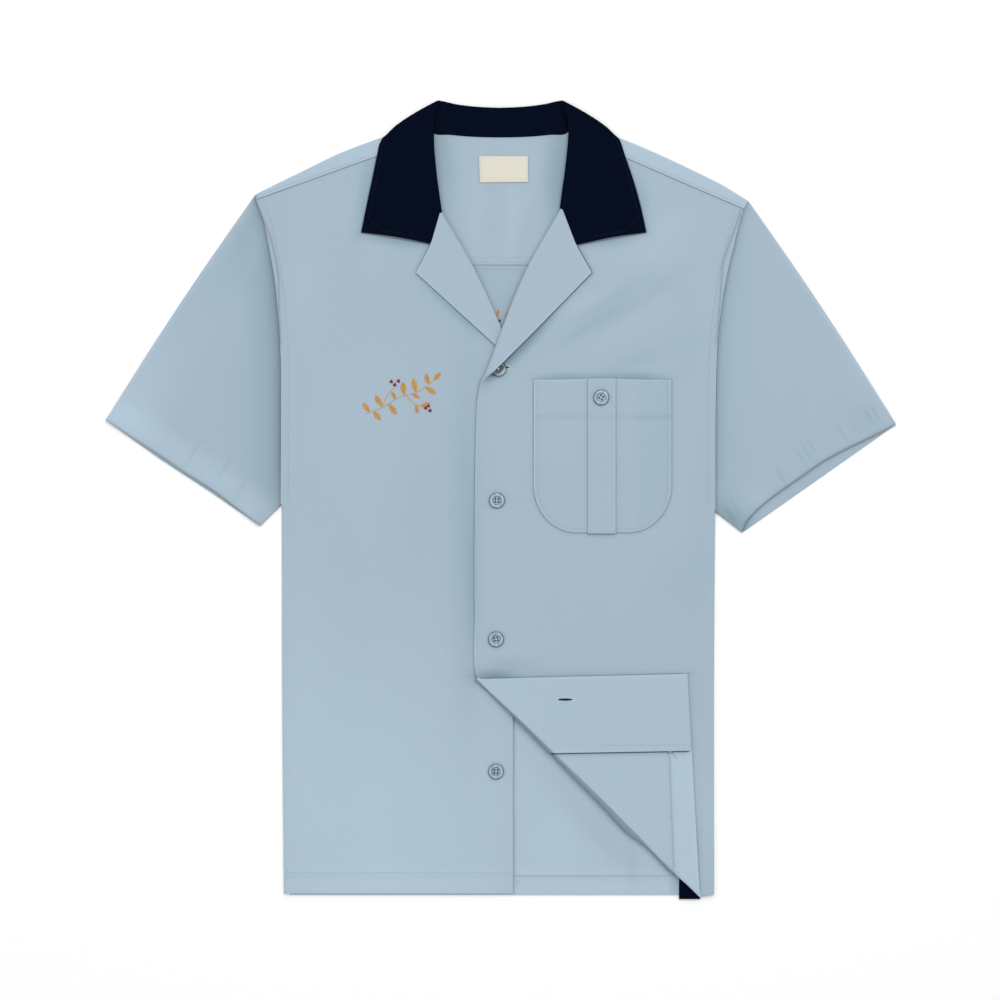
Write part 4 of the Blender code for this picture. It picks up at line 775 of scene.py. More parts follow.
def front_grids(hand, roll, radius, front_edge, hem, base, neck, lapel, clearance=None):
    """The three grids of a front: the panel, its lapel turned back, and its turn under at the side."""
    line, outward, height = side_fold(hand, hem[0][1], base)
    side_inner = line - outward * (SOLID_WALL / 2 + (height - FLOOR) / 2)[:, None]
    outer_edge = np.concatenate([side_inner, armhole_rows(hand)[1:]])
    to_neck = hand * plan_normal(roll)
    roll_inner = roll - to_neck * (SOLID_WALL / 2 + radius)[:, None]
    neck = np.array(neck) - [[0, 0], [0, 0], [0, SEAM_GAP / 2]]
    neck = subdivided(np.concatenate([roll_inner[-1:], neck]), FINE)[1:]
    inner_edge = np.concatenate([front_edge[:-1], roll_inner, neck])
    hem[0], hem[-1] = outer_edge[0], inner_edge[0]
    top = outer_edge[-1] + (inner_edge[-1] - outer_edge[-1]) * fractions(hem)[:, None]
    panel = patch(hem, top, outer_edge, inner_edge)
    panel = raised(panel, base(panel[..., 0], panel[..., 1]) + seam_ridge(hand, panel[..., 0], panel[..., 1]))
    above_point = np.clip(1 - (LAPEL_STEPS - np.arange(LAPEL_STEPS + 1)) / POINT_STEPS, 0.0, 1.0)
    share = 1 + (GORGE_SHARE - 1) * above_point
    settled = smooth((roll[:, 1] - roll[0, 1]) / 9.0)
    flap = turned_flap(roll, to_neck, lapel_edge(lapel), radius, base, FLAP_REST, share, clearance, settled)
    flap[:, 0] = panel[SIDE_STEPS:SIDE_STEPS + LAPEL_STEPS + 1, -1]
    under = round_fold(line, outward, height, np.full(len(line), FLOOR))
    flange = under[:, -1:].copy()
    flange[..., :2] -= outward[:, None] * SEAM_FLANGE
    under = np.concatenate([under, flange], 1)
    under[:, 0] = panel[:SIDE_STEPS + 1, 0]
    return [panel, flap, under]


# %% [markdown]
# ### Seams that show
#
# An armhole is sewn with its allowance turned into the body and stitched down from the outside. That
# leaves a ridge about nine millimetres wide with the topstitching along its inner side, and between the
# stitches the cloth gathers into small puckers. Both are worked out from the distance to the seam.

# %% Seam ridges and the seam lines of the fronts
ALLOWANCE, ARMHOLE_STITCH = 8.5, 7.4  # width of the armhole's ridge, and its stitches from the seam
RIDGE, HEM_DEPTH, HEM_STEP = 0.45, 19.5, 0.22


def armhole_gap(hand, x, y):
    """How far inside the armhole a point lies, measured across the shirt."""
    outline = np.array(ARMHOLE[hand])
    edge = np.interp(y, outline[:, 1], np.abs(outline[:, 0]))
    return np.where(y < outline[0, 1], FAR, edge - np.abs(x))


def seam_ridge(hand, x, y):
    """Relief of a front: the armhole's allowance, the puckers beside its stitches, and the hem's fold."""
    gap = armhole_gap(hand, x, y)
    ridge = RIDGE * smooth((ALLOWANCE + 1.5 - gap) / 3.0) * smooth((y + 5.0) / 40.0)
    ripple = np.sin(y / 1.55 + 1.3 * np.sin(y / 11.0)) * np.sin(y / 4.7 + 0.8)
    pucker = 0.22 * ripple * np.exp(-((gap - ARMHOLE_STITCH) / 4.2) ** 2)
    hem = HEM_STEP * smooth((HEM_Y + HEM_DEPTH - y) / 2.5)
    return ridge + pucker + hem


def armhole_stitches(hand):
    """The topstitching inside an armhole, from the underarm up to the shoulder seam."""
    seam = armhole_rows(hand)
    return inset(seam[seam[:, 1] > 0.0], hand * ARMHOLE_STITCH)


# %% [markdown]
# ### Painted light and shade: where the cloth looks lighter and darker
#
# Flat cloth under soft light still isn't one brightness: light falls into the dips beside a thick edge
# and catches on folds and creases. This light and shade is painted into each piece's colour, slow
# changes of a few parts in a hundred.

# %% Painted light and shade
# Painted light and shade, as soft mounds of brightness
TONES = (  # x, y, angle in degrees, length, width, amount
    (-115, -330, 90, 200, 130, 0.19), (-100, -376, 0, 150, 26, 0.05), (-33, -40, 90, 190, 15, -0.09),
    (-27, -80, 90, 75, 6, -0.08), (-120, 60, 90, 120, 70, 0.035), (120, -60, 90, 130, 90, 0.02),
    (-10, -300, 90, 120, 40, 0.05), (102, 190, 30, 48, 8, -0.07), (119, 170, 31, 60, 9, 0.02),
    (84, 188, 28, 34, 7, 0.065), (91, 168, 29, 50, 6, -0.085), (154, 205, 0, 18, 7, -0.03),
    (124, 161, 20, 40, 7, 0.025), (131, 134, 20, 42, 8, -0.06), (180, 140, 80, 22, 10, -0.04),
    (143, 232, 8, 45, 12, 0.035), (40, 170, 45.5, 14, 4, -0.12), (160, 258, 25, 30, 14, 0.05),
    (20.5, 144.6, 45.5, 36, 5.2, -0.38), (-8, 118, 43, 9, 3.6, -0.26), (-44, 179.5, -42.3, 40, 4.6, -0.11),
    (64, 117, 0, 26, 3.4, -0.2), (128, 117.2, 0, 26, 3.8, -0.24), (-5, -168.5, 0, 19, 6.5, -0.38),
    (6, -155, 0, 20, 7, -0.08), (190, -30, 90, 80, 14, -0.03), (30, -164, 1.5, 60, 4, -0.07),
    (189, -338, 88, 40, 3, -0.08), (198, -300, 90, 80, 20, 0.08), (-76, 10, 90, 90, 32, -0.035),
    (-188, 215, 90, 55, 18, 0.04), (-128, 300, 80, 50, 6, -0.13), (-100, 246, -9, 30, 5, -0.15),
    (108, 246, 9, 24, 5, -0.12), (137, 288, -78, 28, 5, -0.08), (-190, -200, 90, 170, 30, 0.06),
    (162, -80, 90, 35, 28, -0.03), (-62, 205, 90, 40, 30, -0.02))


# Painted shade just outside the edge of a piece on top and in a seam; painted highlight along a pressed edge;
# painted light round the outside of the shirt
SHADE, SEAM_SHADE = -0.34, -0.22  # just outside the edge of a piece on top, and in a seam
EDGE_HIGHLIGHT, RIM_LIGHT = 0.10, 0.10  # along a pressed edge, and round the outside of the shirt
COLLAR_EDGE = {RIGHT: [(-114.2, 346.3), (-116.6, 328.8), (-124.6, 290), (-131.9, 254.3), (-65.7, 243.4)],
               LEFT: [(115.2, 345.8), (118.4, 328.8), (130.8, 290), (139.1, 254.4), (72.4, 242.4)]}


def plain_tone(x, y):
    """Painted light and shade from the table of soft mounds, and no more."""
    return 1.0 + mounds(x, y, TONES)


def pocket_tone(x, y):
    """Painted shade on the pocket: a little darker along the foot of its hem, and towards the side."""
    return 1.0 - 0.03 * smooth((x - 122.0) / 14.0) - 0.05 * np.exp(-(((y - POCKET_TOP + 35.3) / 2.6) ** 2))


# Painted light and shade of soft upright folds inside the neck
NECK_TONES = (  # soft upright folds inside the neck
    (-22, 270, 86, 50, 6, 0.03), (-5, 285, 92, 40, 7, -0.02), (12, 265, 88, 50, 7, 0.04),
    (30, 270, 70, 40, 6, -0.03), (53, 308, 88, 46, 12, -0.12), (-56, 330, 90, 30, 8, -0.05),
    (-45, 305, 88, 40, 9, -0.04))


def neck_tone(x, y):
    """Soft shade inside the neck, under the lapels' rolls and below the collar."""
    gap = beside(np.stack([x, y], 1), [ROLL[RIGHT], ROLL[LEFT]])[3]
    high = smooth((y - 250.0) / 60.0)
    beside_fall = np.exp(-(((64.0 - np.abs(x)) / 17.0) ** 2))
    shade = 0.06 * high * np.exp(-((gap / 12.0) ** 2)) + 0.15 * high * beside_fall
    return 1.02 - shade + mounds(x, y, NECK_TONES)


def even(amount):
    """A tone that is the same all over a piece."""
    return lambda x, y: np.full_like(x, amount)


# Painted light: the lapels are a little lighter, and the strips on the shoulders lighter where they catch the
# light
LAPEL_TONE, SHOULDER_TONE = even(1.02), even(1.12)

# %% The right front, which lies underneath and carries the buttons
def right_front():
    """Grids of the lower front, from its break up to the gorge and out to the armhole."""
    to_point = (ROLL[RIGHT][0][1], POINT_Y[RIGHT][0], LAPEL_STEPS - POINT_STEPS)
    roll = edge_at(ROLL[RIGHT], lapel_stations(RIGHT, to_point))
    radius = BREAK_RADIUS + (ROLL_RADIUS - BREAK_RADIUS) * smooth((roll[:, 1] - 150.0) / 110.0)
    front_edge = np.linspace((FRONT_EDGE_RIGHT, HEM_Y), (FRONT_EDGE_RIGHT, roll[0, 1]), SIDE_STEPS + 1)
    across = 1 - (1 - np.linspace(0.0, 1.0, FRONT_COLUMNS)) ** 1.25
    hem = np.array([SIDE[RIGHT][0][0], HEM_Y]) + across[:, None] * [FRONT_EDGE_RIGHT - SIDE[RIGHT][0][0], 0.0]
    return front_grids(RIGHT, roll, radius, front_edge, hem, right_front_height, FRONT_NECK[RIGHT],
                       LAPEL[RIGHT])


right_grids = right_front()
right_hem_stitches = level_line(-203.0, 12.0, HEM_Y + HEM_DEPTH, 90)
along_fold = np.linspace(0.0, 1.0, 40)[:, None]
corner_fold = CORNER_START + along_fold * (CORNER_END - CORNER_START)
corner_fold = corner_fold - CORNER_ACROSS * corner_round(along_fold)
upper_front_edge = np.concatenate([corner_fold[::-1], FRONT_EDGE_LEFT])
right_edges = [(LAPEL[RIGHT], SHADE), (COLLAR_EDGE[RIGHT], 1.5 * SHADE), (upper_front_edge, 0.8 * SHADE),
               (FORWARD_SEAM[RIGHT], 0.5 * SEAM_SHADE), (SIDE[RIGHT], RIM_LIGHT),
               (SLEEVE_SEAM[RIGHT], 1.2 * SEAM_SHADE)]
front_right = cloth("front_right_cloth", right_grids, pale_cloth,
                    seams=[[armhole_stitches(RIGHT), right_hem_stitches]],
                    edges=[right_edges, [(LAPEL[RIGHT], EDGE_HIGHLIGHT)]], tones=[plain_tone, LAPEL_TONE])

# %% [markdown]
# ### The left front and its turned corner
#
# The upper front carries the buttonholes. Its hem corner is turned up over it, so the fold shows the
# wrong side of the cloth: the facing, the hem's fold and a flap buttonhole. The corner is a lapel on a
# larger scale, with rows square to the fold and the softest bend in the middle.

# %% The turned corner
CORNER_ROWS = stations((0.0, TIP_SHARE, 6 * FINE), (TIP_SHARE, 1.0, 7 * FINE))
BUTTONS = (  # name, x, y, turn of the holes in degrees, what it lies on
    ("button_1", -1.6, 124.6, 20.0, "front"), ("button_2", -2.9, -0.5, 0.0, "front"),
    ("button_3", -3.8, -132.4, 10.0, "front"), ("button_4", -3.8, -258.2, -5.0, "lower front"),
    ("button_pocket", 96.2, 97.4, 59.0, "strip"))
BUTTON_RADIUS, BUTTON_HEIGHT, BUTTON_SEAT = 7.62, 2.4, 0.3


def top_button_clearance(x, y):
    """How far above the upper front its lapel lies so as to pass over the top button."""
    away = np.hypot(x - BUTTONS[0][1], y - BUTTONS[0][2])
    over_button = BUTTON_HEIGHT + 2 * BUTTON_SEAT + SOLID_WALL + 0.3
    return FLAP_REST + (over_button - FLAP_REST) * smooth((24.0 - away) / 11.0)


def corner_radius(share):
    """Radius of the corner's fold: soft in the middle and tight at both ends."""
    ends, middle = CORNER_RADIUS
    return ends + (middle - ends) * np.sin(math.pi * np.clip(share, 0.0, 1.0))


def corner_reach(share):
    """How far the turned corner reaches from its fold."""
    return CORNER_REACH * np.minimum(share / TIP_SHARE, (1 - share) / (1 - TIP_SHARE))


def corner_place(x, y):
    """Where a plan point lies on the turned corner: share of the fold's length, and distance from it."""
    away = np.stack([x - CORNER_START[0], y - CORNER_START[1]], -1)
    return away @ CORNER_ALONG / CORNER_LENGTH, away @ CORNER_ACROSS


def corner_relief(x, y):
    """The hem's double thickness along the corner's right edge, with the small wrinkles across it."""
    seam_x = np.interp(y, *np.array(CORNER_HEM)[:, ::-1].T)
    band = smooth((x - seam_x + 1.0) / 2.0)
    wrinkle = 0.22 * np.sin(y / 2.3 + 1.4 * np.sin(y / 9.0)) * np.exp(-((x - seam_x - 3.0) / 6.0) ** 2)
    return (0.35 * band + wrinkle) * smooth((-225.0 - y) / 10.0)


def corner_height(x, y):
    """The corner's wall over a plan point: rest + (2r - rest)(1 - share of the way to its edge)^1.5."""
    share, distance = corner_place(x, y)
    radius = corner_radius(share)
    first = SOLID_WALL / 2 + radius
    across = np.clip((distance - first) / np.maximum(corner_reach(share) - first, 1.0), 0.0, 1.0)
    return upper_front_height(x, y) + LAY + (2 * radius - LAY) * (1 - across) ** 1.5 + corner_relief(x, y)


def corner_arc(share, low, turn, out=0.0, lift=0.0):
    """Distance from the fold and height round its bend: (c - a sin t, low + r - (r + lift) cos t)."""
    radius = corner_radius(share)[:, None]
    width = radius + corner_round(share)[:, None] + out
    return SOLID_WALL / 2 + radius - width * np.sin(turn), low + radius - (radius + lift) * np.cos(turn)


def turned_corner(share):
    """Rows of the corner square to its fold: half an ellipse round the bend, then straight to the edge."""
    fold = CORNER_START + share[:, None] * (CORNER_END - CORNER_START)
    inner = SOLID_WALL / 2 + corner_radius(share)
    start = fold + CORNER_ACROSS * inner[:, None]
    turn = np.linspace(0.0, math.pi, 2 * ARC_STEPS)[None, :]
    distance, height = corner_arc(share, upper_front_height(*start.T)[:, None], turn)
    arc = raised(fold[:, None] + CORNER_ACROSS * distance[..., None], height)
    reach = np.maximum(corner_reach(share) - inner, SHORTEST_FLAP)[:, None]
    steps = inner[:, None] + reach * np.linspace(0.0, 1.0, CORNER_STEPS + 1)[None, 1:]
    flap = fold[:, None] + CORNER_ACROSS * steps[..., None]
    return np.concatenate([arc, raised(flap, corner_height(flap[..., 0], flap[..., 1]))], 1)


def on_bend(x, y):
    """One on the corner's bend and nothing on its flat part, which starts a little past the fold's line."""
    share, distance = corner_place(x, y)
    pressed = 1.5 * smooth((share - 0.68) / 0.12) + 1.1 * smooth((0.20 - share) / 0.16)
    return smooth((2.1 - pressed - distance) / 0.8)


def corner_tone(x, y):
    """Painted shade on the bend, which faces away from the light, and painted light on the hem's double
    cloth.
    """
    seam_x = np.interp(y, *np.array(CORNER_HEM)[:, ::-1].T)
    return 1.105 - 0.45 * on_bend(x, y) + 0.09 * smooth((x - seam_x) / 3.0)


def left_front():
    """Grids of the upper front: panel, lapel, turn under at the side, and the turned corner."""
    roll = edge_at(ROLL[LEFT], lapel_stations(LEFT, (ROLL[LEFT][0][1], PAST_BUTTON_Y, 4 * FINE),
                                             (PAST_BUTTON_Y, POINT_Y[LEFT][0], 5 * FINE)))
    radius = 0.2 + (ROLL_RADIUS - 0.2) * smooth((roll[:, 1] - ROLL[LEFT][0][1]) / 12.0)
    fold = CORNER_START + CORNER_ROWS[:, None] * (CORNER_END - CORNER_START)
    fold_inner = fold + CORNER_ACROSS * (SOLID_WALL / 2 + corner_radius(CORNER_ROWS))[:, None]
    front_edge = edge_at(FRONT_EDGE_LEFT, np.linspace(CORNER_START[1], roll[0, 1], SIDE_STEPS + 1))
    front_edge[0] = fold_inner[0]
    vent = np.linspace([SIDE[LEFT][0][0], VENT_HEM_Y], fold_inner[-1], VENT_STEPS + 1)[:-1]
    hem = np.concatenate([vent, fold_inner[::-1]])
    grids = front_grids(LEFT, roll, radius, front_edge, hem, upper_front_height, FRONT_NECK[LEFT],
                        LAPEL[LEFT], clearance=top_button_clearance)
    corner = turned_corner(CORNER_ROWS)
    corner[:, 0] = grids[0][0, :VENT_STEPS - 1:-1]
    return grids + [corner]


left_grids = left_front()
corner_hem_stitches = polyline(CORNER_HEM[:2], np.linspace(0.0, 1.0, 40))
corner_top, corner_outline = [CORNER_START, CORNER_TIP], [CORNER_START, CORNER_TIP, CORNER_END]
strip_foot = [(STRIP[0], POCKET_BOTTOM - STRIP_PAST), (STRIP[1], POCKET_BOTTOM - STRIP_PAST)]
lapel_shade = LAPEL[LEFT][:-1] + [(-11.0, 117.7)]  # it ends where the lapel leaves the upper front
left_edges = [(pocket_edge, 0.5 * SHADE), (strip_foot, 1.3 * SHADE), (lapel_shade, 2.2 * SHADE),
              (COLLAR_EDGE[LEFT], 1.5 * SHADE), (corner_top, SHADE), (corner_outline[1:], 0.25 * SHADE),
              (FRONT_EDGE_LEFT[:-1], EDGE_HIGHLIGHT), (FORWARD_SEAM[LEFT], 0.5 * SEAM_SHADE), (SIDE[LEFT], RIM_LIGHT),
              (SLEEVE_SEAM[LEFT], 1.2 * SEAM_SHADE)]
corner_edges = [(corner_outline, EDGE_HIGHLIGHT), (np.array(FACING_EDGE) - [0.0, 0.8], 2.4 * SHADE),
                (CORNER_HEM, 0.6 * SEAM_SHADE)]
front_left = cloth("front_left_cloth", left_grids, pale_cloth,
                   seams=[[armhole_stitches(LEFT)], [], [], [corner_hem_stitches]],
                   edges=[left_edges, [(LAPEL[LEFT], EDGE_HIGHLIGHT)], [], corner_edges],
                   tones=[plain_tone, LAPEL_TONE, plain_tone, corner_tone])

# %% [markdown]
# ### The facing on the turned corner
#
# Inside the front edge lies a facing, a second layer of the same cloth with its own turned edge. On the
# turned corner it shows as a band across the top.

# %% The facing
FACING_LAY, FACING_INSET, FACING_OUT = 1.3, 0.3, 0.9
FACING_STITCH_Y = -233.0
FACING_ROWS, FACING_COLUMNS, FACING_ARC = 44, 90, 14


def facing_tone(x, y):
    """The facing's shade: dark on the bend, light where it lies flat."""
    return 1.095 - 0.45 * on_bend(x, y)


def facing():
    """Level rows from the bend, over which the facing runs on, to the hem's edge."""
    down = np.linspace(0.0, 1.0, FACING_ROWS)[:, None]
    line = CORNER_START + down * (np.array(FACING_EDGE[0]) - CORNER_START) - [0.0, FACING_INSET]
    right = CORNER_TIP + down * (np.array(FACING_EDGE[1]) - CORNER_TIP) - [FACING_INSET, FACING_INSET]
    share = corner_place(*line.T)[0]
    turn = np.linspace(1.25, math.pi, FACING_ARC)[None, :]
    distance, height = corner_arc(share, upper_front_height(*line.T)[:, None], turn, FACING_OUT, FACING_LAY)
    arc = line[:, None] + distance[..., None] / CORNER_ACROSS[0] * np.array([1.0, 0.0])
    across = np.linspace(0.0, 1.0, FACING_COLUMNS)[None, 1:, None]
    flat = arc[:, -1:] + (right[:, None] - arc[:, -1:]) * across
    x, y = flat[..., 0], flat[..., 1]
    ripple = 0.16 * smooth((x - 85.0) / 30.0) * np.sin(x / 2.1 + 1.2 * np.sin(x / 8.0))
    pucker = ripple * np.exp(-((y - FACING_STITCH_Y) / 4.0) ** 2)
    return np.concatenate([raised(arc, height), raised(flat, corner_height(x, y) + FACING_LAY + pucker)], 1)


facing_grid = facing()
facing_stitches = level_line(95.0, 178.0, FACING_STITCH_Y)
corner_facing = cloth("corner_facing_cloth", [facing_grid], pale_cloth, seams=[[facing_stitches]],
                      edges=[[(corner_top, EDGE_HIGHLIGHT), (FACING_EDGE, EDGE_HIGHLIGHT)]], tones=[facing_tone])

# %% [markdown]
# ## Yoke and back
#
# The yoke is the double piece across the shoulders. It wraps forward over both shoulders, so from the
# front it shows as a strip above each forward seam, and through the neck opening its inside shows with
# the label. The back hangs from it and lies flat under everything else.

# %% The yoke
SHOULDER_COLUMNS, NECK_COLUMNS = 56, 60
BACK_SIDE_INSET = 5.6


def shoulder_fold(hand):
    """A shoulder fold from the armhole to the neck: silhouette and outward direction."""
    points = np.array(SHOULDER[hand])
    line = spline(fractions(points), points, np.linspace(0.0, 1.0, SHOULDER_COLUMNS))
    return line, -hand * plan_normal(line)


def armhole_line(hand, low, high, count):
    """Armhole points between two heights y."""
    return edge_at(ARMHOLE[hand], np.linspace(low, high, count))


def yoke():
    """Grids of the yoke: its back, and the strip that wraps forward over each shoulder."""
    strips, edges = [], []
    for hand in (RIGHT, LEFT):
        line, outward = shoulder_fold(hand)
        fold = round_fold(line, outward, yoke_height(*line.T), front_height(*line.T))
        seam_line = polyline(np.array(FORWARD_SEAM[hand]) + [0, SEAM_GAP / 2], fractions(line))
        down = np.linspace(0.0, 1.0, 11)[None, 1:, None]
        strip = fold[:, -1:, :2] + (seam_line[:, None] - fold[:, -1:, :2]) * down
        ridge = 0.3 * smooth((down[..., 0] - 0.45) / 0.3)
        strip = raised(strip, front_height(strip[..., 0], strip[..., 1]) + ridge)
        strips.append(np.concatenate([fold, strip], 1))
        edges.append(fold[:, 0, :2])
    neck = np.array(BACK_NECK)
    neck = spline(fractions(neck), neck, np.linspace(0.0, 1.0, NECK_COLUMNS + 1))
    top = np.concatenate([edges[0], neck[1:-1], edges[1][::-1]])
    seam_y = YOKE_SEAM_Y + SEAM_GAP / 2
    right, left = (armhole_line(hand, seam_y, end[1], 46) for hand, end in ((RIGHT, top[0]), (LEFT, top[-1])))
    right[-1], left[-1] = top[0], top[-1]
    share = (top[:, 0] - top[0, 0]) / (top[-1, 0] - top[0, 0])
    bottom = right[0] + share[:, None] * (left[0] - right[0])
    back = patch(bottom, top, right, left)
    back = raised(back, yoke_height(back[..., 0], back[..., 1]))
    strips[0][:, 0] = back[-1, :SHOULDER_COLUMNS]
    strips[1][:, 0] = back[-1, :-SHOULDER_COLUMNS - 1:-1]
    return [back] + strips


yoke_grids = yoke()
NECK_SPAN = (-90.0, 90.0)  # x of the rows that show inside the neck
yoke_seam = [(x, YOKE_SEAM_Y) for x in NECK_SPAN]
yoke_stitches = [level_line(*NECK_SPAN, YOKE_SEAM_Y + up) for up in (3.2, 7.0)]
shoulder_seams = [[np.array(FORWARD_SEAM[hand]) + [0.0, 3.0]] for hand in (RIGHT, LEFT)]
shoulder_edges = [[(FORWARD_SEAM[hand], 0.2 * SEAM_SHADE), (SHOULDER[hand], RIM_LIGHT)] for hand in (RIGHT, LEFT)]
back_yoke = cloth("back_yoke_cloth", yoke_grids, pale_cloth, seams=[[]] + shoulder_seams,
                  edges=[[(BACK_NECK, SEAM_SHADE)]] + shoulder_edges,
                  tones=[neck_tone, SHOULDER_TONE, SHOULDER_TONE])

# %% The back
# Painted shade below the corner's fold and beside the gusset, and painted light and shade of soft upright
# folds
BACK_TONES = (  # the shade below the corner's fold, and soft upright folds
    (100, -325, -44, 45, 13, -0.09), (50, -270, -44, 45, 9, -0.04), (126.5, -345, 90, 22, 4.5, -0.07),
    (60, -330, 90, 40, 14, 0.02), (70, -268, -44, 110, 26, -0.045), (167.6, -366, 90, 12, 4.2, -0.3))


def back_tone(x, y):
    """Painted shade inside the neck; below, where it shows beside the turned corner, the back is painted
    lighter, with painted shade and light from its table.
    """
    below = 1.165 + mounds(x, y, BACK_TONES) + 0.03 * smooth((-350.0 - y) / 6.0)
    return np.where(y > 0.0, neck_tone(x, y) - 0.06, below)


def back():
    """The back below the yoke, flat on the floor."""
    edges = []
    for hand in (RIGHT, LEFT):
        foot = [SIDE[hand][0][0] - hand * BACK_SIDE_INSET, BACK_HEM_Y]
        underarm = [SIDE[hand][-1][0] - hand * BACK_SIDE_INSET, SIDE[hand][-1][1] + 3.0]
        straight = polyline([foot, underarm], np.linspace(0.0, 1.0, 75))
        edges.append(np.concatenate([straight, armhole_line(hand, 14.0, YOKE_SEAM_Y - SEAM_GAP / 2, 44)]))
    across = np.linspace(0.0, 1.0, 84)[:, None]
    bottom, top = (edges[0][i] + (edges[1][i] - edges[0][i]) * across for i in (0, -1))
    plan = patch(bottom, top, edges[0], edges[1])
    height = FLOOR + 0.25 * smooth((BACK_HEM_Y + HEM_DEPTH - plan[..., 1]) / 2.5)
    return raised(plan, height)


back_grid = back()
back_seam_stitches = level_line(*NECK_SPAN, YOKE_SEAM_Y - 3.8)
back_hem_stitches = level_line(-196.0, 194.0, BACK_HEM_Y + HEM_DEPTH - 1.6, 130)
front_edge_line = [(FRONT_EDGE_RIGHT, HEM_Y), (FRONT_EDGE_RIGHT, -150.0)]
back_edges = [(front_edge_line, 0.5 * SEAM_SHADE), (corner_fold, 0.6 * SHADE),
              (back_hem_stitches, 0.7 * SEAM_SHADE), (yoke_seam, SEAM_SHADE)]
back_body = cloth("back_body_cloth", [back_grid], pale_cloth, seams=[[back_seam_stitches, back_hem_stitches]],
                  edges=[back_edges], tones=[back_tone], inside=(90.0, -345.0))

# %% [markdown]
# ## Sleeves
#
# A sleeve is a tube pressed flat: an upper and a lower layer with a round fold at its outer edge and
# under the arm. Its grid runs round the tube, and its rows go from the armhole to the cuff. The upper
# layer dips to the armhole seam and rises a little in the middle; the cuff has its hem folded inside.

# %% The sleeves
CUFF = {  # the upper layer's hem from the sleeve's outer fold to the underarm
    RIGHT: [(-375.6, 76), (-351, 59.9), (-324.2, 42.4), (-300.5, 26.2), (-272, 8.1), (-248.6, -9.6),
            (-228.2, -25)],
    LEFT: [(377.3, 72), (353.6, 60), (327.7, 47.7), (306.7, 36.2), (285.8, 21.5), (264.8, 6.9),
           (244.6, -9.6), (234.6, -20.8), (230.3, -31.2)]}
CUFF_UNDER = {RIGHT: [(-375.6, 76), (-325.6, 40.3), (-273.4, 6), (-228.2, -25)],  # and the under layer's
              LEFT: [(377.3, 72), (230.3, -31.2)]}
CUFF_PUCKERS = {  # where short puckers cross the hem: share of the cuff, width in mm, height
    RIGHT: ((0.16, 2.6, 0.22), (0.21, 2.2, -0.2), (0.37, 3, 0.2), (0.56, 2.8, 0.24), (0.61, 2.4, -0.22),
            (0.8, 3.2, 0.2)),
    LEFT: ((0.17, 2, 0.55), (0.2, 1.8, -0.45), (0.225, 2, 0.5), (0.36, 2.2, 0.5), (0.39, 2, -0.4),
           (0.545, 2.2, 0.55), (0.57, 1.8, -0.5), (0.595, 2, 0.4), (0.77, 2.6, 0.3))}
CUFF_HEM = 17.0
SLEEVE_ROWS, SLEEVE_LOFT, SLEEVE_BULGE = 58, 1.7, 2.2
SLEEVE_CREASES = ((0.30, 0.035, 0.35), (0.52, 0.05, -0.4), (0.72, 0.04, 0.3), (0.86, 0.03, 0.4))


def fold_direction(hand, start, end):
    """The direction in plan out across a fold that runs from `start` to `end`."""
    along = unit(end - start)
    return -hand * np.array([along[1], -along[0]])


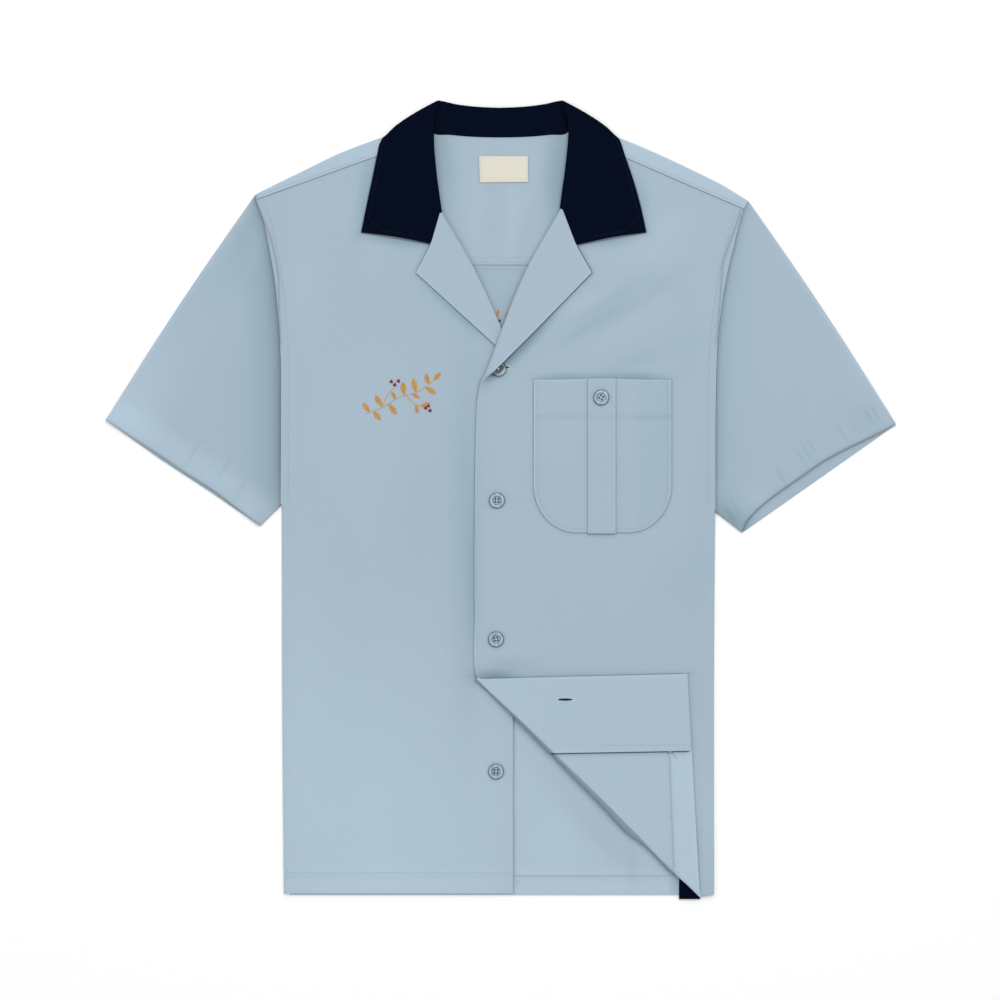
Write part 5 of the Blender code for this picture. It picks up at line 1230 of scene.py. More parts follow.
def sleeve(hand):
    """Rings round a flattened tube, from the armhole seam to the cuff."""
    tip = np.array(SHOULDER[hand][0])
    armhole = np.concatenate([armhole_rows(hand), [tip]])[::-1]
    cuff_points = np.array(CUFF[hand])
    share = fractions(armhole)
    cuff = spline(fractions(cuff_points), cuff_points, share)
    cuff_under = polyline(CUFF_UNDER[hand], share)
    start = armhole + hand * plan_normal(armhole) * SEAM_GAP
    down = np.linspace(0.0, 1.0, SLEEVE_ROWS + 1)[:, None, None]
    bulge = SLEEVE_BULGE * (1 - share[:, None]) ** 3 * np.sin(math.pi * down)
    bulge = bulge * fold_direction(hand, armhole[0], cuff[0])
    upper = start + (cuff - start) * down + bulge
    lower = start + (cuff_under - start) * down + bulge

    # Out across the outer fold and the underarm; at the armhole both folds are cut along the seam
    across = []
    for end, inner, turn in ((0, 1, hand), (-1, -2 * FINE, -hand)):
        out = np.repeat(fold_direction(turn, armhole[end], cuff[end])[None], SLEEVE_ROWS + 1, 0)
        seam = unit(armhole[end] - armhole[inner])
        out[0] = seam / (seam @ out[0])
        across.append(out[:, None])
    for layer in (upper, lower):
        layer[:, :1] -= across[0] * (SOLID_WALL / 2 + FOLD_RADIUS)
        layer[:, -1:] -= across[1] * (SOLID_WALL / 2 + FOLD_RADIUS)
    to_cuff = np.linalg.norm(cuff - upper, axis=-1)
    from_seam = np.linalg.norm(upper - start, axis=-1)
    loft = SLEEVE_LOFT * np.sin(math.pi * share) * smooth(down[..., 0] / 0.4) * (1.3 - down[..., 0])
    run = share * np.linalg.norm(cuff[-1] - cuff[0])
    relief = 0.12 * smooth((CUFF_HEM + 3.0 - to_cuff) / 8.0) * np.ones_like(run)
    for where, width, amount in CUFF_PUCKERS[hand]:
        crossing = np.exp(-(((run - where * run[-1] - 0.1 * (to_cuff - CUFF_HEM)) / width) ** 2))
        relief = relief + amount * crossing * np.exp(-((to_cuff - CUFF_HEM + 2.0) / 8.5) ** 2)
    relief = relief - 0.45 * smooth((14.0 - from_seam) / 14.0)
    inside = smooth(np.minimum(share, 1 - share) / 0.04)
    for where, width, amount in SLEEVE_CREASES:
        crease = np.exp(-(((share - where - 0.06 * (down[..., 0] - 0.5)) / width) ** 2))
        relief = relief + amount * crease * np.sin(math.pi * np.clip(down[..., 0] * 1.1, 0.0, 1.0))
    top, bottom = raised(upper, FRONT_HEIGHT + loft + relief * inside), raised(lower, FLOOR)[:, ::-1]
    turn = np.linspace(0.0, math.pi, ARC_STEPS)[None, 1:-1, None]

    def arc(first, last, out):
        """Half circle from the end of one layer to the start of the other."""
        middle = (first + last) / 2 + (first - last) / 2 * np.cos(turn)
        middle[..., :2] += out * FOLD_RADIUS * np.sin(turn)
        return middle

    underarm, outer = arc(top[:, -1:], bottom[:, :1], across[1]), arc(bottom[:, -1:], top[:, :1], across[0])
    return np.concatenate([top, underarm, bottom, outer, top[:, :1]], 1)


# Painted light and shade on the sleeves
SLEEVE_TONES = {  # x, y, angle, length, width, amount
    RIGHT: ((-352, 88, 58, 70, 32, 0.12), (-235, -10, 55, 22, 14, 0.05), (-237, 262, 60, 28, 8, -0.08),
            (-262, 215, 58, 40, 16, -0.035)),
    LEFT: ((221, -20, -35, 26, 11, -0.22), (340, 130, -58, 70, 14, 0.03), (343, 77, -35, 22, 12, -0.035),
           (248, 2, -35, 20, 10, 0.045))}
# Painted shade of the hem's short gathers
CUFF_TUCKS = {  # where the hem's short gathers show, x and y
    RIGHT: ((-292, 44), (-262, 30), (-247, 10)),
    LEFT: ((356, 84), (351, 80), (325, 64), (296, 52), (291, 47), (286, 41), (268, 22), (225, -8),
           (219, -14))}


def sleeve_tone(hand):
    """Painted shade in the dip beside the body and in the hem's gathers, and painted light along the hem."""
    outline = np.array(ARMHOLE[hand])
    wide, narrow, hem = (0.16, 0.18, 0.10) if hand == RIGHT else (0.05, 0.08, 0.0)

    def painted_light(x, y):
        """One, less the painted shade of the dip and of the gathers, and more near the cuff, plus the painted
        spots.
        """
        gap = np.abs(x) - np.interp(y, outline[:, 1], np.abs(outline[:, 0]))
        cuff = np.abs(beside(np.stack([x, y], 1), [CUFF[hand]])[0])
        dip_shade = wide * np.exp(-((gap / 28.0) ** 2)) * smooth((285.0 - y) / 90.0)
        dip_shade = dip_shade + narrow * np.exp(-((gap / 8.0) ** 2)) * (1 - 0.6 * smooth((50.0 - y) / 60.0))
        tuck_shade = sum(np.exp(-(((x - cx + hand * 0.6 * (y - cy)) / 1.8) ** 2) - ((y - cy) / 9.0) ** 2)
                    for cx, cy in CUFF_TUCKS[hand])
        hem_light = hem * smooth((36.0 - cuff) / 22.0)
        return 1.0 - dip_shade + hem_light - 0.09 * tuck_shade + mounds(x, y, SLEEVE_TONES[hand])

    return painted_light


sleeves = {}
for hand, name in ((RIGHT, "sleeve_right_cloth"), (LEFT, "sleeve_left_cloth")):
    cuff_line = np.array(CUFF[hand])
    tip = np.array(SHOULDER[hand][0])
    sleeves[hand] = cloth(name, [sleeve(hand)], pale_cloth, tones=[sleeve_tone(hand)],
                          grain=(0.82, -hand * 0.57),
                          edges=[[(inset(cuff_line, -hand * 0.7), 0.85 * SHADE), ([tip, cuff_line[0]], RIM_LIGHT),
                                  (inset(ARMHOLE[hand], -hand * 1.7), 0.8 * SEAM_SHADE)]])

# %% [markdown]
# ## The collar
#
# A camp collar is one long piece: its stand is sewn round the neck, its fall turns over along the roll
# and lies on the fronts. Behind the neck it lies under the yoke, because the shirt lies on its back.
# Each row of its grid is a section from the neck seam up the stand, round the roll and down the fall;
# the table gives the three places and the turn, and a spline carries the sections into one another.

# %% The collar's sections
COLLAR = {  # seam x, y, roll x, y, edge x, y, turn, bend
    RIGHT: (
        (-0.5, 345, -0.5, 373.4, -0.5, 312.9, -90, 0), (-17, 345.2, -15, 373.9, -17, 313.2, -90, 0),
        (-32.4, 346, -30, 375.1, -35, 313.8, -90, 0), (-47, 347.4, -42.5, 376.9, -55, 315, -90, 0),
        (-64, 349.4, -49.6, 378.6, -80, 320, -90, 0), (-68.6, 360.5, -56.1, 383.2, -111.5, 347, -90, 0),
        (-68.6, 360.5, -61.8, 377.8, -111.5, 347, 90, 0), (-70.4, 350.8, -62, 365, -115, 336.8, 90, 0),
        (-72.6, 342.6, -62.6, 354, -116.6, 328.8, 90, 0), (-72.7, 333.5, -62.6, 343.5, -118.2, 320.5, 90, 0),
        (-72.8, 324.3, -62.2, 333, -119.9, 312, 90, 0), (-69.8, 312.9, -61.2, 321.5, -122, 302, 90, 0),
        (-66.8, 301.5, -59.8, 308, -124.6, 290, 90, 0.1), (-62, 289, -57.8, 293, -127.8, 275, 90, 0.45),
        (-57.4, 272.8, -55.2, 273.8, -131.9, 254.3, 90, 1)),
    LEFT: (
        (-0.5, 345, -0.5, 373.4, -0.5, 312.9, -90, 0), (17, 345.2, 15, 373.9, 17, 313.2, -90, 0),
        (32.4, 346, 30, 375.1, 35, 313.8, -90, 0), (47, 347.4, 42.5, 376.9, 55, 315, -90, 0),
        (64, 349.4, 49.6, 378.6, 80, 320, -90, 0), (68.6, 360.5, 56.1, 383.2, 112.8, 346.6, -90, 0),
        (68.6, 360.5, 62.4, 377.8, 112.8, 346.6, 90, 0), (70.4, 352.2, 63.3, 365, 115.8, 337, 90, 0),
        (72.6, 345.3, 64.8, 354, 118.4, 328.8, 90, 0), (72.7, 335, 64.7, 343.5, 121, 320.5, 90, 0),
        (72.8, 324.3, 63.8, 333, 124, 312, 90, 0), (69.8, 312.9, 62.6, 321.5, 127.4, 302, 90, 0),
        (66.8, 301.5, 61, 308, 130.8, 290, 90, 0.1), (63, 291, 59, 295, 134.8, 275, 90, 0.45),
        (59, 276.2, 57.4, 277.2, 139.1, 254.4, 90, 1))}
PEAK, PEAK_STEPS = 5, 6  # the row where the collar starts to turn over the shoulder, and how many it takes
PEAK_RADIUS, SHOULDER_BOW = 1.4, 1.8
SHOULDER_OUT, SHOULDER_ROUND = 3.2, 1.6  # outer corner on the shoulder: its top moved out, its fold in
END_BOW = 1.2  # how far the front end's lower edge bows up between the notch and the tip
STAND_STEPS, ROLL_STEPS = 9, 12
FALL_LEGS = ((0.0, GORGE_SHARE, 7), (GORGE_SHARE, 1.0, 14))
SECTION_STEPS = 6  # rows of cloth from one section to the next


def collar_half(hand):
    """Rows of sections from the middle of the back to the front end: a grid of middle points."""
    table = np.array(COLLAR[hand], float)
    step = np.linspace(0.0, 1.0, PEAK_STEPS + 1)[1:-1, None]
    between = table[PEAK] + step * (table[PEAK + 1] - table[PEAK])
    rows = np.concatenate([table[:PEAK + 1], between, table[PEAK + 1:]])
    at_peak = np.zeros((len(rows), 1))
    at_peak[PEAK:PEAK + PEAK_STEPS + 1] = 1.0
    seam, roll, edge = rows[:, 0:2], rows[:, 2:4], rows[:, 4:6]
    turn, bend = np.radians(rows[:, 6:7]), rows[:, 7:8]
    away = np.maximum(0, np.maximum(PEAK - np.arange(len(rows)), np.arange(len(rows)) - PEAK - PEAK_STEPS))
    radius = (PEAK_RADIUS + (ROLL_RADIUS - PEAK_RADIUS) * smooth(away / 3.0))[:, None]

    # Directions in plan: up the stand, out along the fall, and from the silhouettes inwards
    up, out = unit(roll - seam), unit(edge - roll)
    up[-1] = hand * plan_normal(np.array(ROLL[hand][-2:]))[-1]
    inward = hand * np.stack([out[:, 1], -out[:, 0]], 1)
    under_shoulder = unit([-hand * 0.33, -0.94])

    # Neck seam: beside the yoke's edge, its shoulder fold and the front's neck edge in turn
    clear = np.concatenate([hand * plan_normal(seam[:PEAK]), np.zeros((PEAK_STEPS + 1, 2)),
                            -hand * plan_normal(seam[PEAK + PEAK_STEPS:])[1:]])
    clear[PEAK:PEAK + PEAK_STEPS + 1] = unit([-hand * 0.94, 0.33])
    under = at_peak * under_shoulder * (SOLID_WALL / 2 + FOLD_RADIUS * (1 - np.cos(turn)))
    seam = seam + clear * NECK_GAP + under
    low, high = yoke_height(seam[:, 0], seam[:, 1])[:, None], front_height(seam[:, 0], seam[:, 1])[:, None]
    bottom = np.concatenate([seam, (low + high) / 2 + (high - low) / 2 * np.sin(turn)], 1)
    arc_out = unit(out * (1 - bend) - up * bend)
    first = roll + arc_out * (radius + SOLID_WALL / 2)
    notch = np.array(LAPEL[hand][0]) + [hand * SEAM_GAP, 0.1]

    def fall_at(across):
        """Points of the fall at a share of its width. The folds over the shoulder lie inside one another."""
        straight = first + (edge - first) * across
        path = first + (notch - first) * (across / GORGE_SHARE)
        if across > GORGE_SHARE:
            past_notch = (across - GORGE_SHARE) / (1 - GORGE_SHARE)
            path = notch + (edge - notch) * past_notch + [0.0, END_BOW * math.sin(math.pi * past_notch)]
        plan = straight * (1 - bend) + path * bend
        over = front_height(plan[:, 0], plan[:, 1])[:, None] + FLAP_REST
        over = over + (2 * ROLL_RADIUS - FLAP_REST) * (1 - across) ** 1.5
        middle, half = (over + FLOOR) / 2, (over - FLOOR) / 2
        bow = SHOULDER_BOW * math.sin(math.pi * across) * np.cos(turn)
        rounding = smooth((across - 0.72) / 0.28)
        bow = bow - SHOULDER_ROUND * rounding * np.cos(turn)
        plan = plan + at_peak * inward * (SOLID_WALL / 2 + half * (1 - np.cos(turn)) - bow)
        plan = plan + at_peak * out * rounding * (SHOULDER_OUT * (1 - np.cos(turn)) - 0.5 * np.cos(turn))
        return np.concatenate([plan, middle + half * np.sin(turn)], 1), middle, half

    fall = [fall_at(w)[0] for w in stations(*FALL_LEGS)]
    middle, half = fall_at(0.0)[1:]
    stand_half = half - 2 * radius
    stand_top = roll - up * (radius + SOLID_WALL / 2)
    stand_top = stand_top + at_peak * inward * (SOLID_WALL / 2 + half - stand_half * np.cos(turn))
    stand_top[-1] = seam[-1]
    top = np.concatenate([stand_top, middle + stand_half * np.sin(turn)], 1)
    rise, drop = (np.pad(way * radius * 4 / 3, ((0, 0), (0, 1))) for way in (up, arc_out))
    stand = [bottom + (top - bottom) * t for t in np.linspace(0.0, 1.0, STAND_STEPS + 1)[:-1]]
    arc = [(1 - t) ** 3 * top + 3 * t * (1 - t) ** 2 * (top + rise) + 3 * t * t * (1 - t) * (fall[0] - drop)
           + t ** 3 * fall[0] for t in np.linspace(0.0, 1.0, ROLL_STEPS + 1)[:-1]]
    return np.stack(stand + arc + fall, 1)


def between_sections(grid):
    """More rows between a grid's sections, on splines through them; the peak's ends stay as they are."""
    legs = []
    for first, last in ((0, PEAK), (PEAK, PEAK + PEAK_STEPS), (PEAK + PEAK_STEPS, len(grid) - 1)):
        rows = np.arange(first, last + 1)
        at = np.linspace(first, last, (last - first) * SECTION_STEPS + 1)
        legs.append(spline(rows, grid[first:last + 1], at))
    return np.concatenate([legs[0], legs[1][1:], legs[2][1:]])


collar_halves = [between_sections(collar_half(hand)) for hand in (RIGHT, LEFT)]
collar_grid = np.concatenate([collar_halves[0][::-1], collar_halves[1][1:]])
collar = cloth("collar_cloth", [collar_grid], navy_cloth, tones=[even(1.0)])

# %% [markdown]
# ## Pocket, label and gusset
#
# The pocket is a patch with rounded lower corners and a box strip down its middle. The label is a slip
# of woven satin, sewn to the yoke at its ends and left bare. The gusset is a scrap of collar cloth that
# strengthens the side vent.

# %% The pocket
POCKET_HEM, POCKET_STITCH, STRIP_STITCH = 35.7, 3.6, 2.6


def pocket_grid(across, rows, lift):
    """Rows down the pocket at distances from its middle, lifted off the upper front."""
    down = np.linspace(0.0, 1.0, rows + 1)[:, None]
    y = pocket_brim(across) + (pocket_floor(across) - pocket_brim(across))[None] * down
    x = np.broadcast_to(POCKET_CENTRE + across, y.shape)
    return np.stack([x, y, upper_front_height(x, y) + lift], -1)


pocket = pocket_grid(pocket_across, 70, LAY)
pocket_sewn = np.concatenate([pocket[:, 0], pocket[-1, 1:-1], pocket[::-1, -1]])[:, :2]
pocket_stitches = inset(pocket_sewn, POCKET_STITCH)
hem_legs = ((-POCKET_HALF + 1.5, STRIP[0] - POCKET_CENTRE - 1.0),
            (STRIP[1] - POCKET_CENTRE + 1.0, POCKET_HALF - 1.5))
pocket_hem_stitches = [level_line(*leg, POCKET_TOP - POCKET_HEM, 30) + [POCKET_CENTRE, 0.0]
                       for leg in hem_legs]
strip_sides = [np.stack([np.full(60, x), np.linspace(POCKET_TOP, POCKET_BOTTOM, 60)], 1) for x in STRIP]
pocket_edges = [(line, 0.5 * SHADE) for line in strip_sides] + [(pocket_edge, EDGE_HIGHLIGHT)]
pocket_patch = cloth("pocket_patch_cloth", [pocket], pale_cloth, seams=[[pocket_stitches]],
                     edges=[pocket_edges], tones=[pocket_tone])
strip_grid = pocket_grid(stations((STRIP[0], STRIP[1], 16)) - POCKET_CENTRE, 90, 2 * LAY)
strip_grid[-1, :, 1] -= STRIP_PAST
strip_lines = [line + [inward, 0.0] for line, inward in zip(strip_sides, (STRIP_STITCH, -STRIP_STITCH))]
pocket_strip = cloth("pocket_strip_cloth", [strip_grid], pale_cloth,
                     edges=[[(line, EDGE_HIGHLIGHT) for line in strip_sides]], tones=[pocket_tone])

# %% Label and gusset
LABEL_CORNERS = ((-20.0, 327.2), (26.7, 327.2), (-19.3, 302.0), (26.7, 302.4))
GUSSET = (170.4, 190.4, -379.8, -345.0)  # x from and to, y from and to


def label_grid():
    """The label between its four corners, a little loose in the middle."""
    a, b, c, d = (np.array(p) for p in LABEL_CORNERS)
    across, down = np.linspace(0.0, 1.0, 49)[None, :, None], np.linspace(0.0, 1.0, 29)[:, None, None]
    plan = (a + (b - a) * across) * (1 - down) + (c + (d - c) * across) * down
    loose = 0.35 * np.sin(math.pi * across[..., 0]) * np.sin(math.pi * down[..., 0])
    return raised(plan, yoke_height(plan[..., 0], plan[..., 1]) + LAY + loose)


label_surface = label_grid()
label_fold = [(-18.0, 306.7), (26.0, 304.8)]
label = cloth("label_cloth", [label_surface], label_satin, seams=[[label_fold]], tones=[even(1.0)], wall=0.6)
gusset_plan = np.stack(np.meshgrid(np.linspace(*GUSSET[:2], 16), np.linspace(*GUSSET[2:], 18)), -1)
vent_gusset = cloth("vent_gusset_cloth", [raised(gusset_plan, FLOOR + LAY)], navy_cloth, tones=[even(1.0)])

# %% [markdown]
# ## Buttons
#
# The buttons are moulded, four-holed and dished, with a raised rim. One polar grid makes the whole
# shape: rings from the middle of the top out over the rim and back underneath, and each thread hole is
# a steep dip in the height. The same grid, turned and moved, makes all five.

# %% One button and its threads
HOLE_RADIUS, HOLE_REACH, HOLE_DEPTH = 0.9, 1.95, 1.2
BUTTON_RINGS = (  # radius and height, top to underside
    (0, 1.35), (0.7, 1.35), (1.1, 1.35), (1.4, 1.35), (1.7, 1.35), (2, 1.35), (2.3, 1.35), (2.6, 1.35),
    (2.9, 1.35), (3.3, 1.36), (3.7, 1.42), (4, 1.62), (4.3, 1.95), (4.7, 2.22), (5.2, 2.38), (5.8, 2.4),
    (6.5, 2.3), (7.05, 2.05), (7.42, 1.7), (7.6, 1.25), (7.55, 0.85), (7.3, 0.5), (6.9, 0.2), (6.3, 0.02),
    (5, 0), (2.5, 0), (0, 0))
# Painted light and shade of the button's rings: radius and brightness
BUTTON_TONES = (
    (0, 1), (2.5, 1), (2.9, 1.25), (3.4, 0.85), (3.9, 0.62), (4.4, 0.9), (5.3, 1.35), (6.1, 1.2), (6.7, 0.7),
    (7.2, 0.42), (7.6, 0.4))
BUTTON_SIDES, RING_STEPS = 96, 3
LAPEL_OVER_BUTTON = 2.3  # how far past the lapel's edge the middle of the top button lies


def hole_places(turn):
    """The four holes of a button, seen from above."""
    angle = math.radians(turn + 45.0) + np.arange(4) * math.pi / 2
    return HOLE_REACH * np.stack([np.cos(angle), np.sin(angle)], 1)


def button_shape(turn):
    """Points and faces of a button in the middle of the plan: (radius, angle) to (x, y, height)."""
    rings = subdivided(BUTTON_RINGS, RING_STEPS)
    angle = np.linspace(0.0, 2 * math.pi, BUTTON_SIDES, endpoint=False)
    x, y = rings[1:-1, :1] * np.cos(angle), rings[1:-1, :1] * np.sin(angle)
    z = np.repeat(rings[1:-1, 1:], BUTTON_SIDES, 1)
    holes = hole_places(turn)
    nearest = np.min(np.hypot(x[..., None] - holes[:, 0], y[..., None] - holes[:, 1]), -1)
    on_top = np.arange(len(z))[:, None] < 12 * RING_STEPS
    hole = smooth((HOLE_RADIUS + 0.12 - nearest) / 0.3) * on_top
    z = z - HOLE_DEPTH * hole
    # Painted light and shade of the rings, and painted shade in the holes
    painted_light = np.interp(np.hypot(x, y), *np.transpose(BUTTON_TONES)) * (1 - 0.97 * hole)
    painted_light = np.concatenate([[1.0], painted_light.ravel(), [1.0]])
    around = np.stack([x, y, z], -1).reshape(-1, 3)
    points = np.concatenate([[[0.0, 0.0, rings[0, 1]]], around, [[0.0, 0.0, 0.0]]])
    rows = len(rings) - 2
    k = 1 + np.arange(rows * BUTTON_SIDES).reshape(rows, BUTTON_SIDES)
    ahead = np.roll(k, -1, 1)
    walls = np.stack([k[:-1], k[1:], ahead[1:], ahead[:-1]], -1).reshape(-1, 4)
    top = np.stack([np.zeros(BUTTON_SIDES, int), k[0], ahead[0]], -1)
    foot = np.stack([np.full(BUTTON_SIDES, len(points) - 1), ahead[-1], k[-1]], -1)
    return points, [walls, top, foot], painted_light


def button_threads(turn):
    """Two strands over each diagonal, from hole to hole, crossing in the middle."""
    holes = hole_places(turn)
    share = np.linspace(-1.0, 1.0, 13)
    paths = []
    for pair, lift in ((0, 0.0), (1, 0.22)):
        along = unit(holes[pair])
        for side in (-0.22, 0.22):
            plan = share[:, None] * along * (HOLE_REACH - 0.55) + side * np.array([-along[1], along[0]])
            height = 1.58 + lift - 1.3 * np.clip((np.abs(share) - 0.62) / 0.38, 0.0, 1.0) ** 1.5
            paths.append(raised(plan, height))
    return thread_mesh(np.array(paths), 0.19, sides=8)


def seat_height(x, y, on):
    """Top of the cloth under a button, at its highest."""
    turn = np.linspace(0.0, 2 * math.pi, 13)
    ring_x, ring_y = x + BUTTON_RADIUS * np.cos(turn), y + BUTTON_RADIUS * np.sin(turn)
    base = front_height if on == "lower front" else upper_front_height
    rise = 2 * LAY if on == "strip" else 0.0
    return float(np.max(base(ring_x, ring_y))) + rise + SOLID_WALL / 2 + BUTTON_SEAT


for name, x, y, turn, on in BUTTONS:
    place = np.array([x, y, seat_height(x, y, on)])
    points, faces, painted_light = button_shape(turn)
    # Painted shadow of the lapel, which lies over the top button
    if name == "button_1":  # under the lapel
        past_lapel = LAPEL_OVER_BUTTON + 0.68 * points[:, 0] - 0.73 * points[:, 1]
        painted_light = painted_light * (1 - 0.85 * smooth((7.8 - past_lapel) / 3.5))
    mesh, _ = new_mesh(name + "_moulded", points + place, faces)
    mesh.attributes.new("painted_light", "FLOAT", "POINT").data.foreach_set("value", painted_light.astype(np.float32))
    button = add_object(name + "_moulded", mesh, pearl_plastic)
    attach(button, "root")
    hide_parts(name)
    points, faces = button_threads(turn)
    sewn(name + "_thread", [(points + place, faces)], white_thread)

# %% [markdown]
# ## Sewing
#
# Every seam that shows gets its own row of stitches, laid on the grid of the cloth that it holds. A
# buttonhole is a slit between two lips of close stitches. The chest and the inside of the back carry a
# little embroidery: a sprig of leaves and berries in satin stitch, threads laid side by side at a slant.

# %% Rows of stitches
STITCH_LIFT = WALL / 2 + 0.02  # from the middle of the cloth up to a thread


def rows_on(grid, lines, **options):
    """Stitches along each of the lines, on one grid of cloth."""
    return [stitch_row(line, grid, STITCH_LIFT, **options) for line in lines]


def collar_fall(half):
    """What lies on the fronts of a collar half: rows past the peak, from the roll to the outer edge."""
    return collar_halves[half][(PEAK + PEAK_STEPS) * SECTION_STEPS + 2:, STAND_STEPS + ROLL_STEPS:]


def collar_topstitch(grid, inside=4.2):
    """A line `inside` the outer edge of the fall and then inside its front end."""
    side = grid[:, -1, :2] + unit(grid[:, -8, :2] - grid[:, -1, :2]) * inside
    end = grid[-1, ::-1, :2] + unit(grid[-4, ::-1, :2] - grid[-1, ::-1, :2]) * inside
    return np.concatenate([side[:-4], end[4:-10]])


falls = [collar_fall(half) for half in (0, 1)]
for name, grid, lines, skip in (
        ("right_armhole_stitches", right_grids[0], [armhole_stitches(RIGHT)], 0.0),
        ("left_armhole_stitches", left_grids[0], [armhole_stitches(LEFT)], 0.0),
        ("right_hem_stitches", right_grids[0], [right_hem_stitches], 0.0),
        ("yoke_stitches", yoke_grids[0], yoke_stitches, 0.0),
        ("right_shoulder_stitches", yoke_grids[1], shoulder_seams[0], 4.0),
        ("left_shoulder_stitches", yoke_grids[2], shoulder_seams[1], 4.0),
        ("back_stitches", back_grid, [back_seam_stitches, back_hem_stitches], 0.0),
        ("pocket_stitches", pocket, [pocket_stitches] + pocket_hem_stitches, 0.0),
        ("strip_stitches", strip_grid, strip_lines, 0.0),
        ("facing_edge_stitches", facing_grid, [facing_stitches], 0.0),
        ("corner_hem_stitches", left_grids[3], [corner_hem_stitches], 0.0)):
    sewn(name, rows_on(grid, lines, skip=skip), pale_thread)
sewn("collar_stitches", [rows for fall in falls for rows in rows_on(fall, [collar_topstitch(fall)])],
     navy_thread)
label_ends = [[(-18.2, 325.6), (-17.8, 303.6)], [(25.3, 325.6), (25.3, 303.9)]]
sewn("label_stitches", rows_on(label_surface, label_ends, pitch=2.0, length=1.4), white_thread)

# %% Buttonholes
SLIT = 1.1  # half of a buttonhole's opening


def buttonhole(name, centre, degrees, length, grid):
    """A slit, painted as a thin dark sheet of shade, |out| < SLIT * sqrt(1 - along^2), between two lips of
    stitches 1.5 mm long.
    """
    turn = math.radians(degrees)
    along, out = np.array([math.cos(turn), math.sin(turn)]), np.array([-math.sin(turn), math.cos(turn)])
    u, v = np.meshgrid(np.linspace(-1.0, 1.0, 29), np.linspace(-1.0, 1.0, 5))
    opening = SLIT * v * np.sqrt(1.001 - u * u)
    plan = np.array(centre) + u[..., None] * along * length / 2 + opening[..., None] * out
    # The opening is painted shade: a thin dark sheet laid just above the cloth
    slit_shade = raised(plan, drape(plan, grid) + WALL / 2 + 0.05)
    mesh, _ = new_mesh(name + "_slit", slit_shade.reshape(-1, 3), [grid_faces(*slit_shade.shape[:2])])
    dark = add_object(name + "_slit", mesh, navy_thread)
    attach(dark, "root")
    place = np.linspace(-0.6, 0.6, int(length / 0.45))[:, None]
    share = np.linspace(0.0, 1.0, 4)
    lip = SLIT * np.sqrt(np.clip(1 - (2 * place) ** 2, 0.0, 1.0)) + 0.3
    plan = np.concatenate([np.array(centre) + (place * length * along)[:, None]
                           + side * (lip[:, None] + 1.5 * share[None, :, None]) * out for side in (-1, 1)])
    height = drape(plan, grid) + STITCH_LIFT + 0.16 * np.sin(math.pi * share)
    sewn(name + "_stitches", [thread_mesh(raised(plan, height), 0.22)], light_thread)


buttonhole("corner_buttonhole", (61.9, -189.6), 0.0, 13.8, facing_grid)
buttonhole("top_buttonhole", (2.4, 126.0), 0.0, 12.4, left_grids[0])

# %% Embroidery
def satin_leaf(base, tip, width, grid, pitch=0.55):
    """Threads side by side on a leaf, from its vein out to a half width of width/2 * sin(pi * share^0.8)."""
    base, tip = np.array(base, float), np.array(tip, float)
    length = np.linalg.norm(tip - base)
    along = (tip - base) / length
    side = np.array([-along[1], along[0]])
    share = (np.arange(int(length / pitch)) + 0.5) / int(length / pitch)
    half = 0.2 + width / 2 * np.sin(math.pi * share ** 0.8)
    out = np.linspace(0.0, 1.0, 4)
    vein = (base + (tip - base) * share[:, None])[:, None]
    plan = np.concatenate([vein + half[:, None, None] * out[None, :, None] * (lip * side + 0.7 * along)
                           for lip in (-1, 1)])
    crown = 0.22 * np.sin(math.pi * (0.15 + 0.8 * out))
    return thread_mesh(raised(plan, drape(plan, grid) + STITCH_LIFT + crown), 0.27)


def stem(points, grid):
    """Close stitches along a smooth line through a few points."""
    line = spline(fractions(np.array(points)), points, np.linspace(0.0, 1.0, 60))
    return stitch_row(line, grid, STITCH_LIFT + 0.05, pitch=2.0, length=2.5, radius=0.34)


SPRIG_STEM = [(-128, 82), (-112, 88), (-95, 98), (-78, 103), (-63, 114)]
SPRIG_TWIGS = ([(-112, 88), (-108, 98), (-100, 108)],
               [(-90, 100), (-82, 92), (-72, 88)])
SPRIG_LEAVES = (  # base x, y, tip x, y, width
    (-124, 83.5, -130.5, 92.5, 4.6), (-121, 85, -113.5, 76, 4.6), (-112, 88.5, -118.5, 99.5, 5.2),
    (-106, 91.5, -98.5, 81.5, 5), (-99, 95.5, -103, 103, 3.6), (-91, 99.5, -92.5, 112, 5.4),
    (-84, 101.5, -76.5, 97, 3.4), (-80, 102.5, -82.5, 115.5, 5.2), (-71, 107.5, -61, 101, 4.8),
    (-68, 110, -70.5, 120, 4.4), (-63, 114, -56.5, 121, 4.2), (-80, 91, -78.5, 82.5, 3.8),
    (-75.5, 89, -66.5, 92.5, 3.6))
SPRIG_BERRIES = (
    (-100.5, 109.5), (-97, 113), (-103.8, 112.5), (-71, 87.5), (-67, 85), (-68.5, 89.5))
right_panel = right_grids[0]
gold = [stem(line, right_panel) for line in (SPRIG_STEM,) + SPRIG_TWIGS]
gold += [satin_leaf(row[:2], row[2:4], row[4], right_panel) for row in SPRIG_LEAVES]
sewn("chest_sprig_leaves", gold, gold_thread)
sewn("chest_sprig_berries", [satin_leaf((x - 1.6, y - 0.4), (x + 1.6, y + 0.4), 3.4, right_panel, 0.4)
                             for x, y in SPRIG_BERRIES], wine_thread)
BACK_LEAVES = (
    (-2.4, 168.5, -4.8, 176, 2.6), (-3, 173.5, -1.6, 181.5, 2.6), (5.4, 173.2, 8.4, 180, 2.8),
    (8, 178, 11.2, 186, 2.6))
sewn("back_sprig_leaves", [satin_leaf(row[:2], row[2:4], row[4], back_grid) for row in BACK_LEAVES],
     gold_thread)
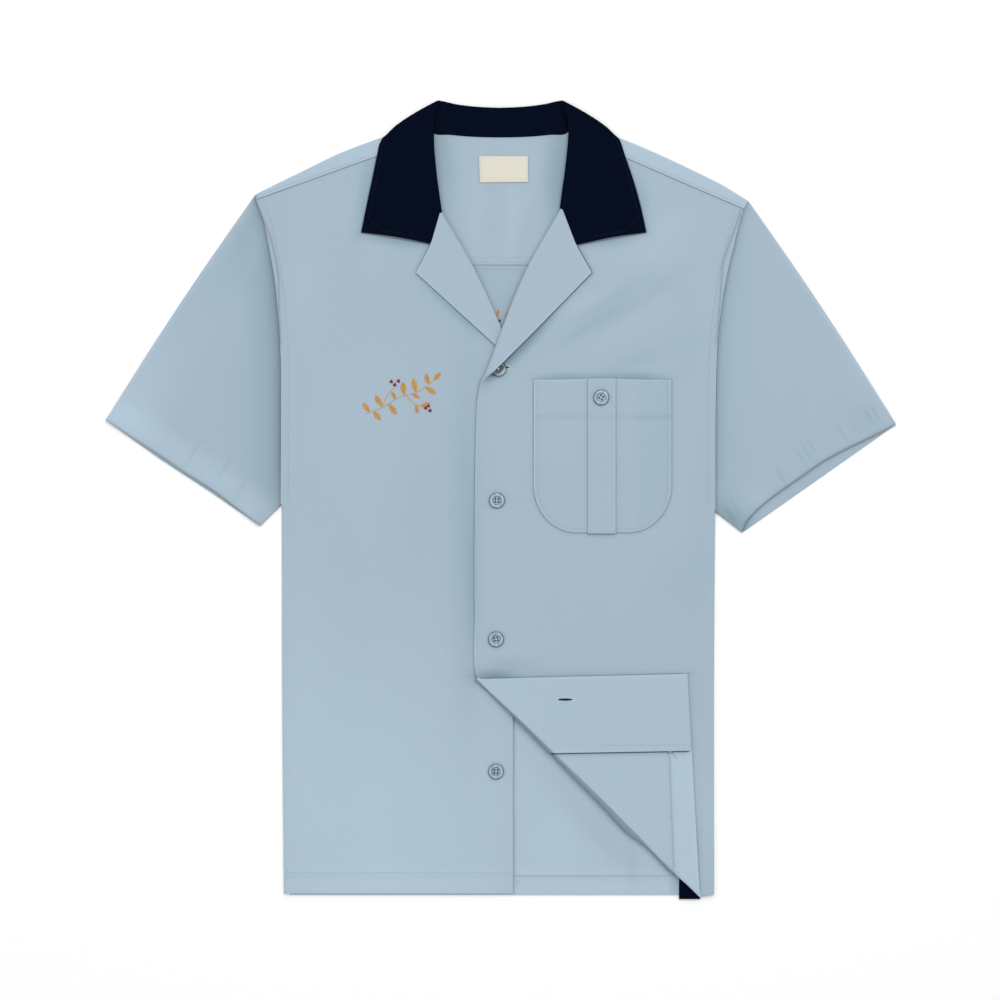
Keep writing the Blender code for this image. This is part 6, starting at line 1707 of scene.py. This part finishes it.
sewn("back_sprig_berries", [satin_leaf((x - 1.3, y - 0.3), (x + 1.3, y + 0.3), 2.8, back_grid, 0.4)
                            for x, y in ((-0.8, 170.5), (7.2, 174.5))], wine_thread)

# %% [markdown]
# ## What each piece of cloth is
#
# The last step for the cloth is to print how large each piece was cut before it was folded, with the
# share of that size that its cloth fills, and to hang each piece on the shirt in place of its solid.

# %% Flat sizes
SLEEVE_FLAT = (0.500, 0.200)
for piece, slot, flat, held, rests_on in (
        (back_body, "pale_cloth", (0.415, 0.602), "laid", ()),
        (back_yoke, "pale_cloth", (0.475, 0.176), "folded", ()),
        (front_right, "pale_cloth", (0.300, 0.722), "folded", ("back_body",)),
        (front_left, "pale_cloth", (0.330, 0.722), "folded", ("back_body", "front_right")),
        (corner_facing, "pale_cloth", (0.208, 0.080), "folded", ("front_left",)),
        (sleeves[RIGHT], "pale_cloth", SLEEVE_FLAT, "folded", ()),
        (sleeves[LEFT], "pale_cloth", SLEEVE_FLAT, "folded", ()),
        (collar, "navy_cloth", (0.560, 0.098), "folded", ("front_right", "front_left", "back_yoke")),
        (pocket_patch, "pale_cloth", (0.1315, 0.1475), "laid", ("front_left",)),
        (pocket_strip, "pale_cloth", (0.0268, 0.1475), "laid", ("pocket_patch",)),
        (label, "label_satin", (0.0470, 0.0256), "laid", ("back_yoke",)),
        (vent_gusset, "navy_cloth", (0.0202, 0.0350), "laid", ("back_body",))):
    print(piece.name, "cut", flat, "share", round(piece["cloth_area"] / (flat[0] * flat[1]), 3))
    declare(piece, rests_on)

# %% [markdown]
# ## Floor, light and camera
#
# The shirt lies on a pale floor under a very large soft light, a little up and to the right, with a
# weaker one at the left and a bright surround that fills the shadows. The camera looks straight down
# from far enough that the garment shows without perspective stretch.

# %% Stage
FLOOR_SIZE, FLOOR_Z = 4.0, -0.0006
CAMERA_LENS, SENSOR, PICTURE_WIDTH = 100.0, 36.0, 0.9525
CAMERA_HEIGHT = PICTURE_WIDTH * CAMERA_LENS / SENSOR
LIGHTS = (("key", (0.55, 0.9, 2.2), 1.6, 26.0), ("fill", (-1.2, 0.1, 2.2), 2.0, 12.0))  # place, size, watts
SURROUND = 0.62


def studio():
    """A pale floor, two soft lights and an even surround."""
    mesh = bpy.data.meshes.new("floor")
    half = FLOOR_SIZE / 2
    corners = [(x * half, y * half, FLOOR_Z) for x, y in ((-1, -1), (1, -1), (1, 1), (-1, 1))]
    mesh.from_pydata(corners, [], [(0, 1, 2, 3)])
    paper, tree, shader = finish_of("pale_paper", (0.9, 0.9, 0.9), 0.9)
    place = node(tree, "TexCoord", {}).outputs["Object"]
    grain = node(tree, "TexNoise", {0: place, "Scale": 60.0, "Detail": 3.0}).outputs[0]
    coloured(tree, shader, (0.97, 0.97, 0.97), sums(tree, grain, ("MULTIPLY", 0.02), ("ADD", 0.99)),
             sums(tree, grain, ("MULTIPLY", 0.0)))
    floor = add_object("floor", mesh, paper)
    for name, (x, y, z), size, power in LIGHTS:
        light = bpy.data.lights.new(name, "AREA")
        light.shape, light.size, light.energy = "SQUARE", size, power
        lamp = bpy.data.objects.new(name, light)
        lamp.location = (x, y, z)
        lamp.rotation_euler = (math.atan2(math.hypot(x, y), z), 0.0, math.atan2(x, -y))  # aimed at the origin
        bpy.context.scene.collection.objects.link(lamp)
    world = bpy.data.worlds.new("surround")
    world.use_nodes = True
    background = world.node_tree.nodes["Background"]
    background.inputs["Color"].default_value = (1.0, 1.0, 1.0, 1.0)
    background.inputs["Strength"].default_value = SURROUND
    bpy.context.scene.world = world
    bpy.context.scene.view_settings.view_transform = "Standard"


studio()
lens = bpy.data.cameras.new("camera")
lens.lens, lens.sensor_width = CAMERA_LENS, SENSOR
camera = bpy.data.objects.new("camera", lens)
camera.location = (0.0, 0.0, CAMERA_HEIGHT)
bpy.context.scene.collection.objects.link(camera)
bpy.context.scene.camera = camera
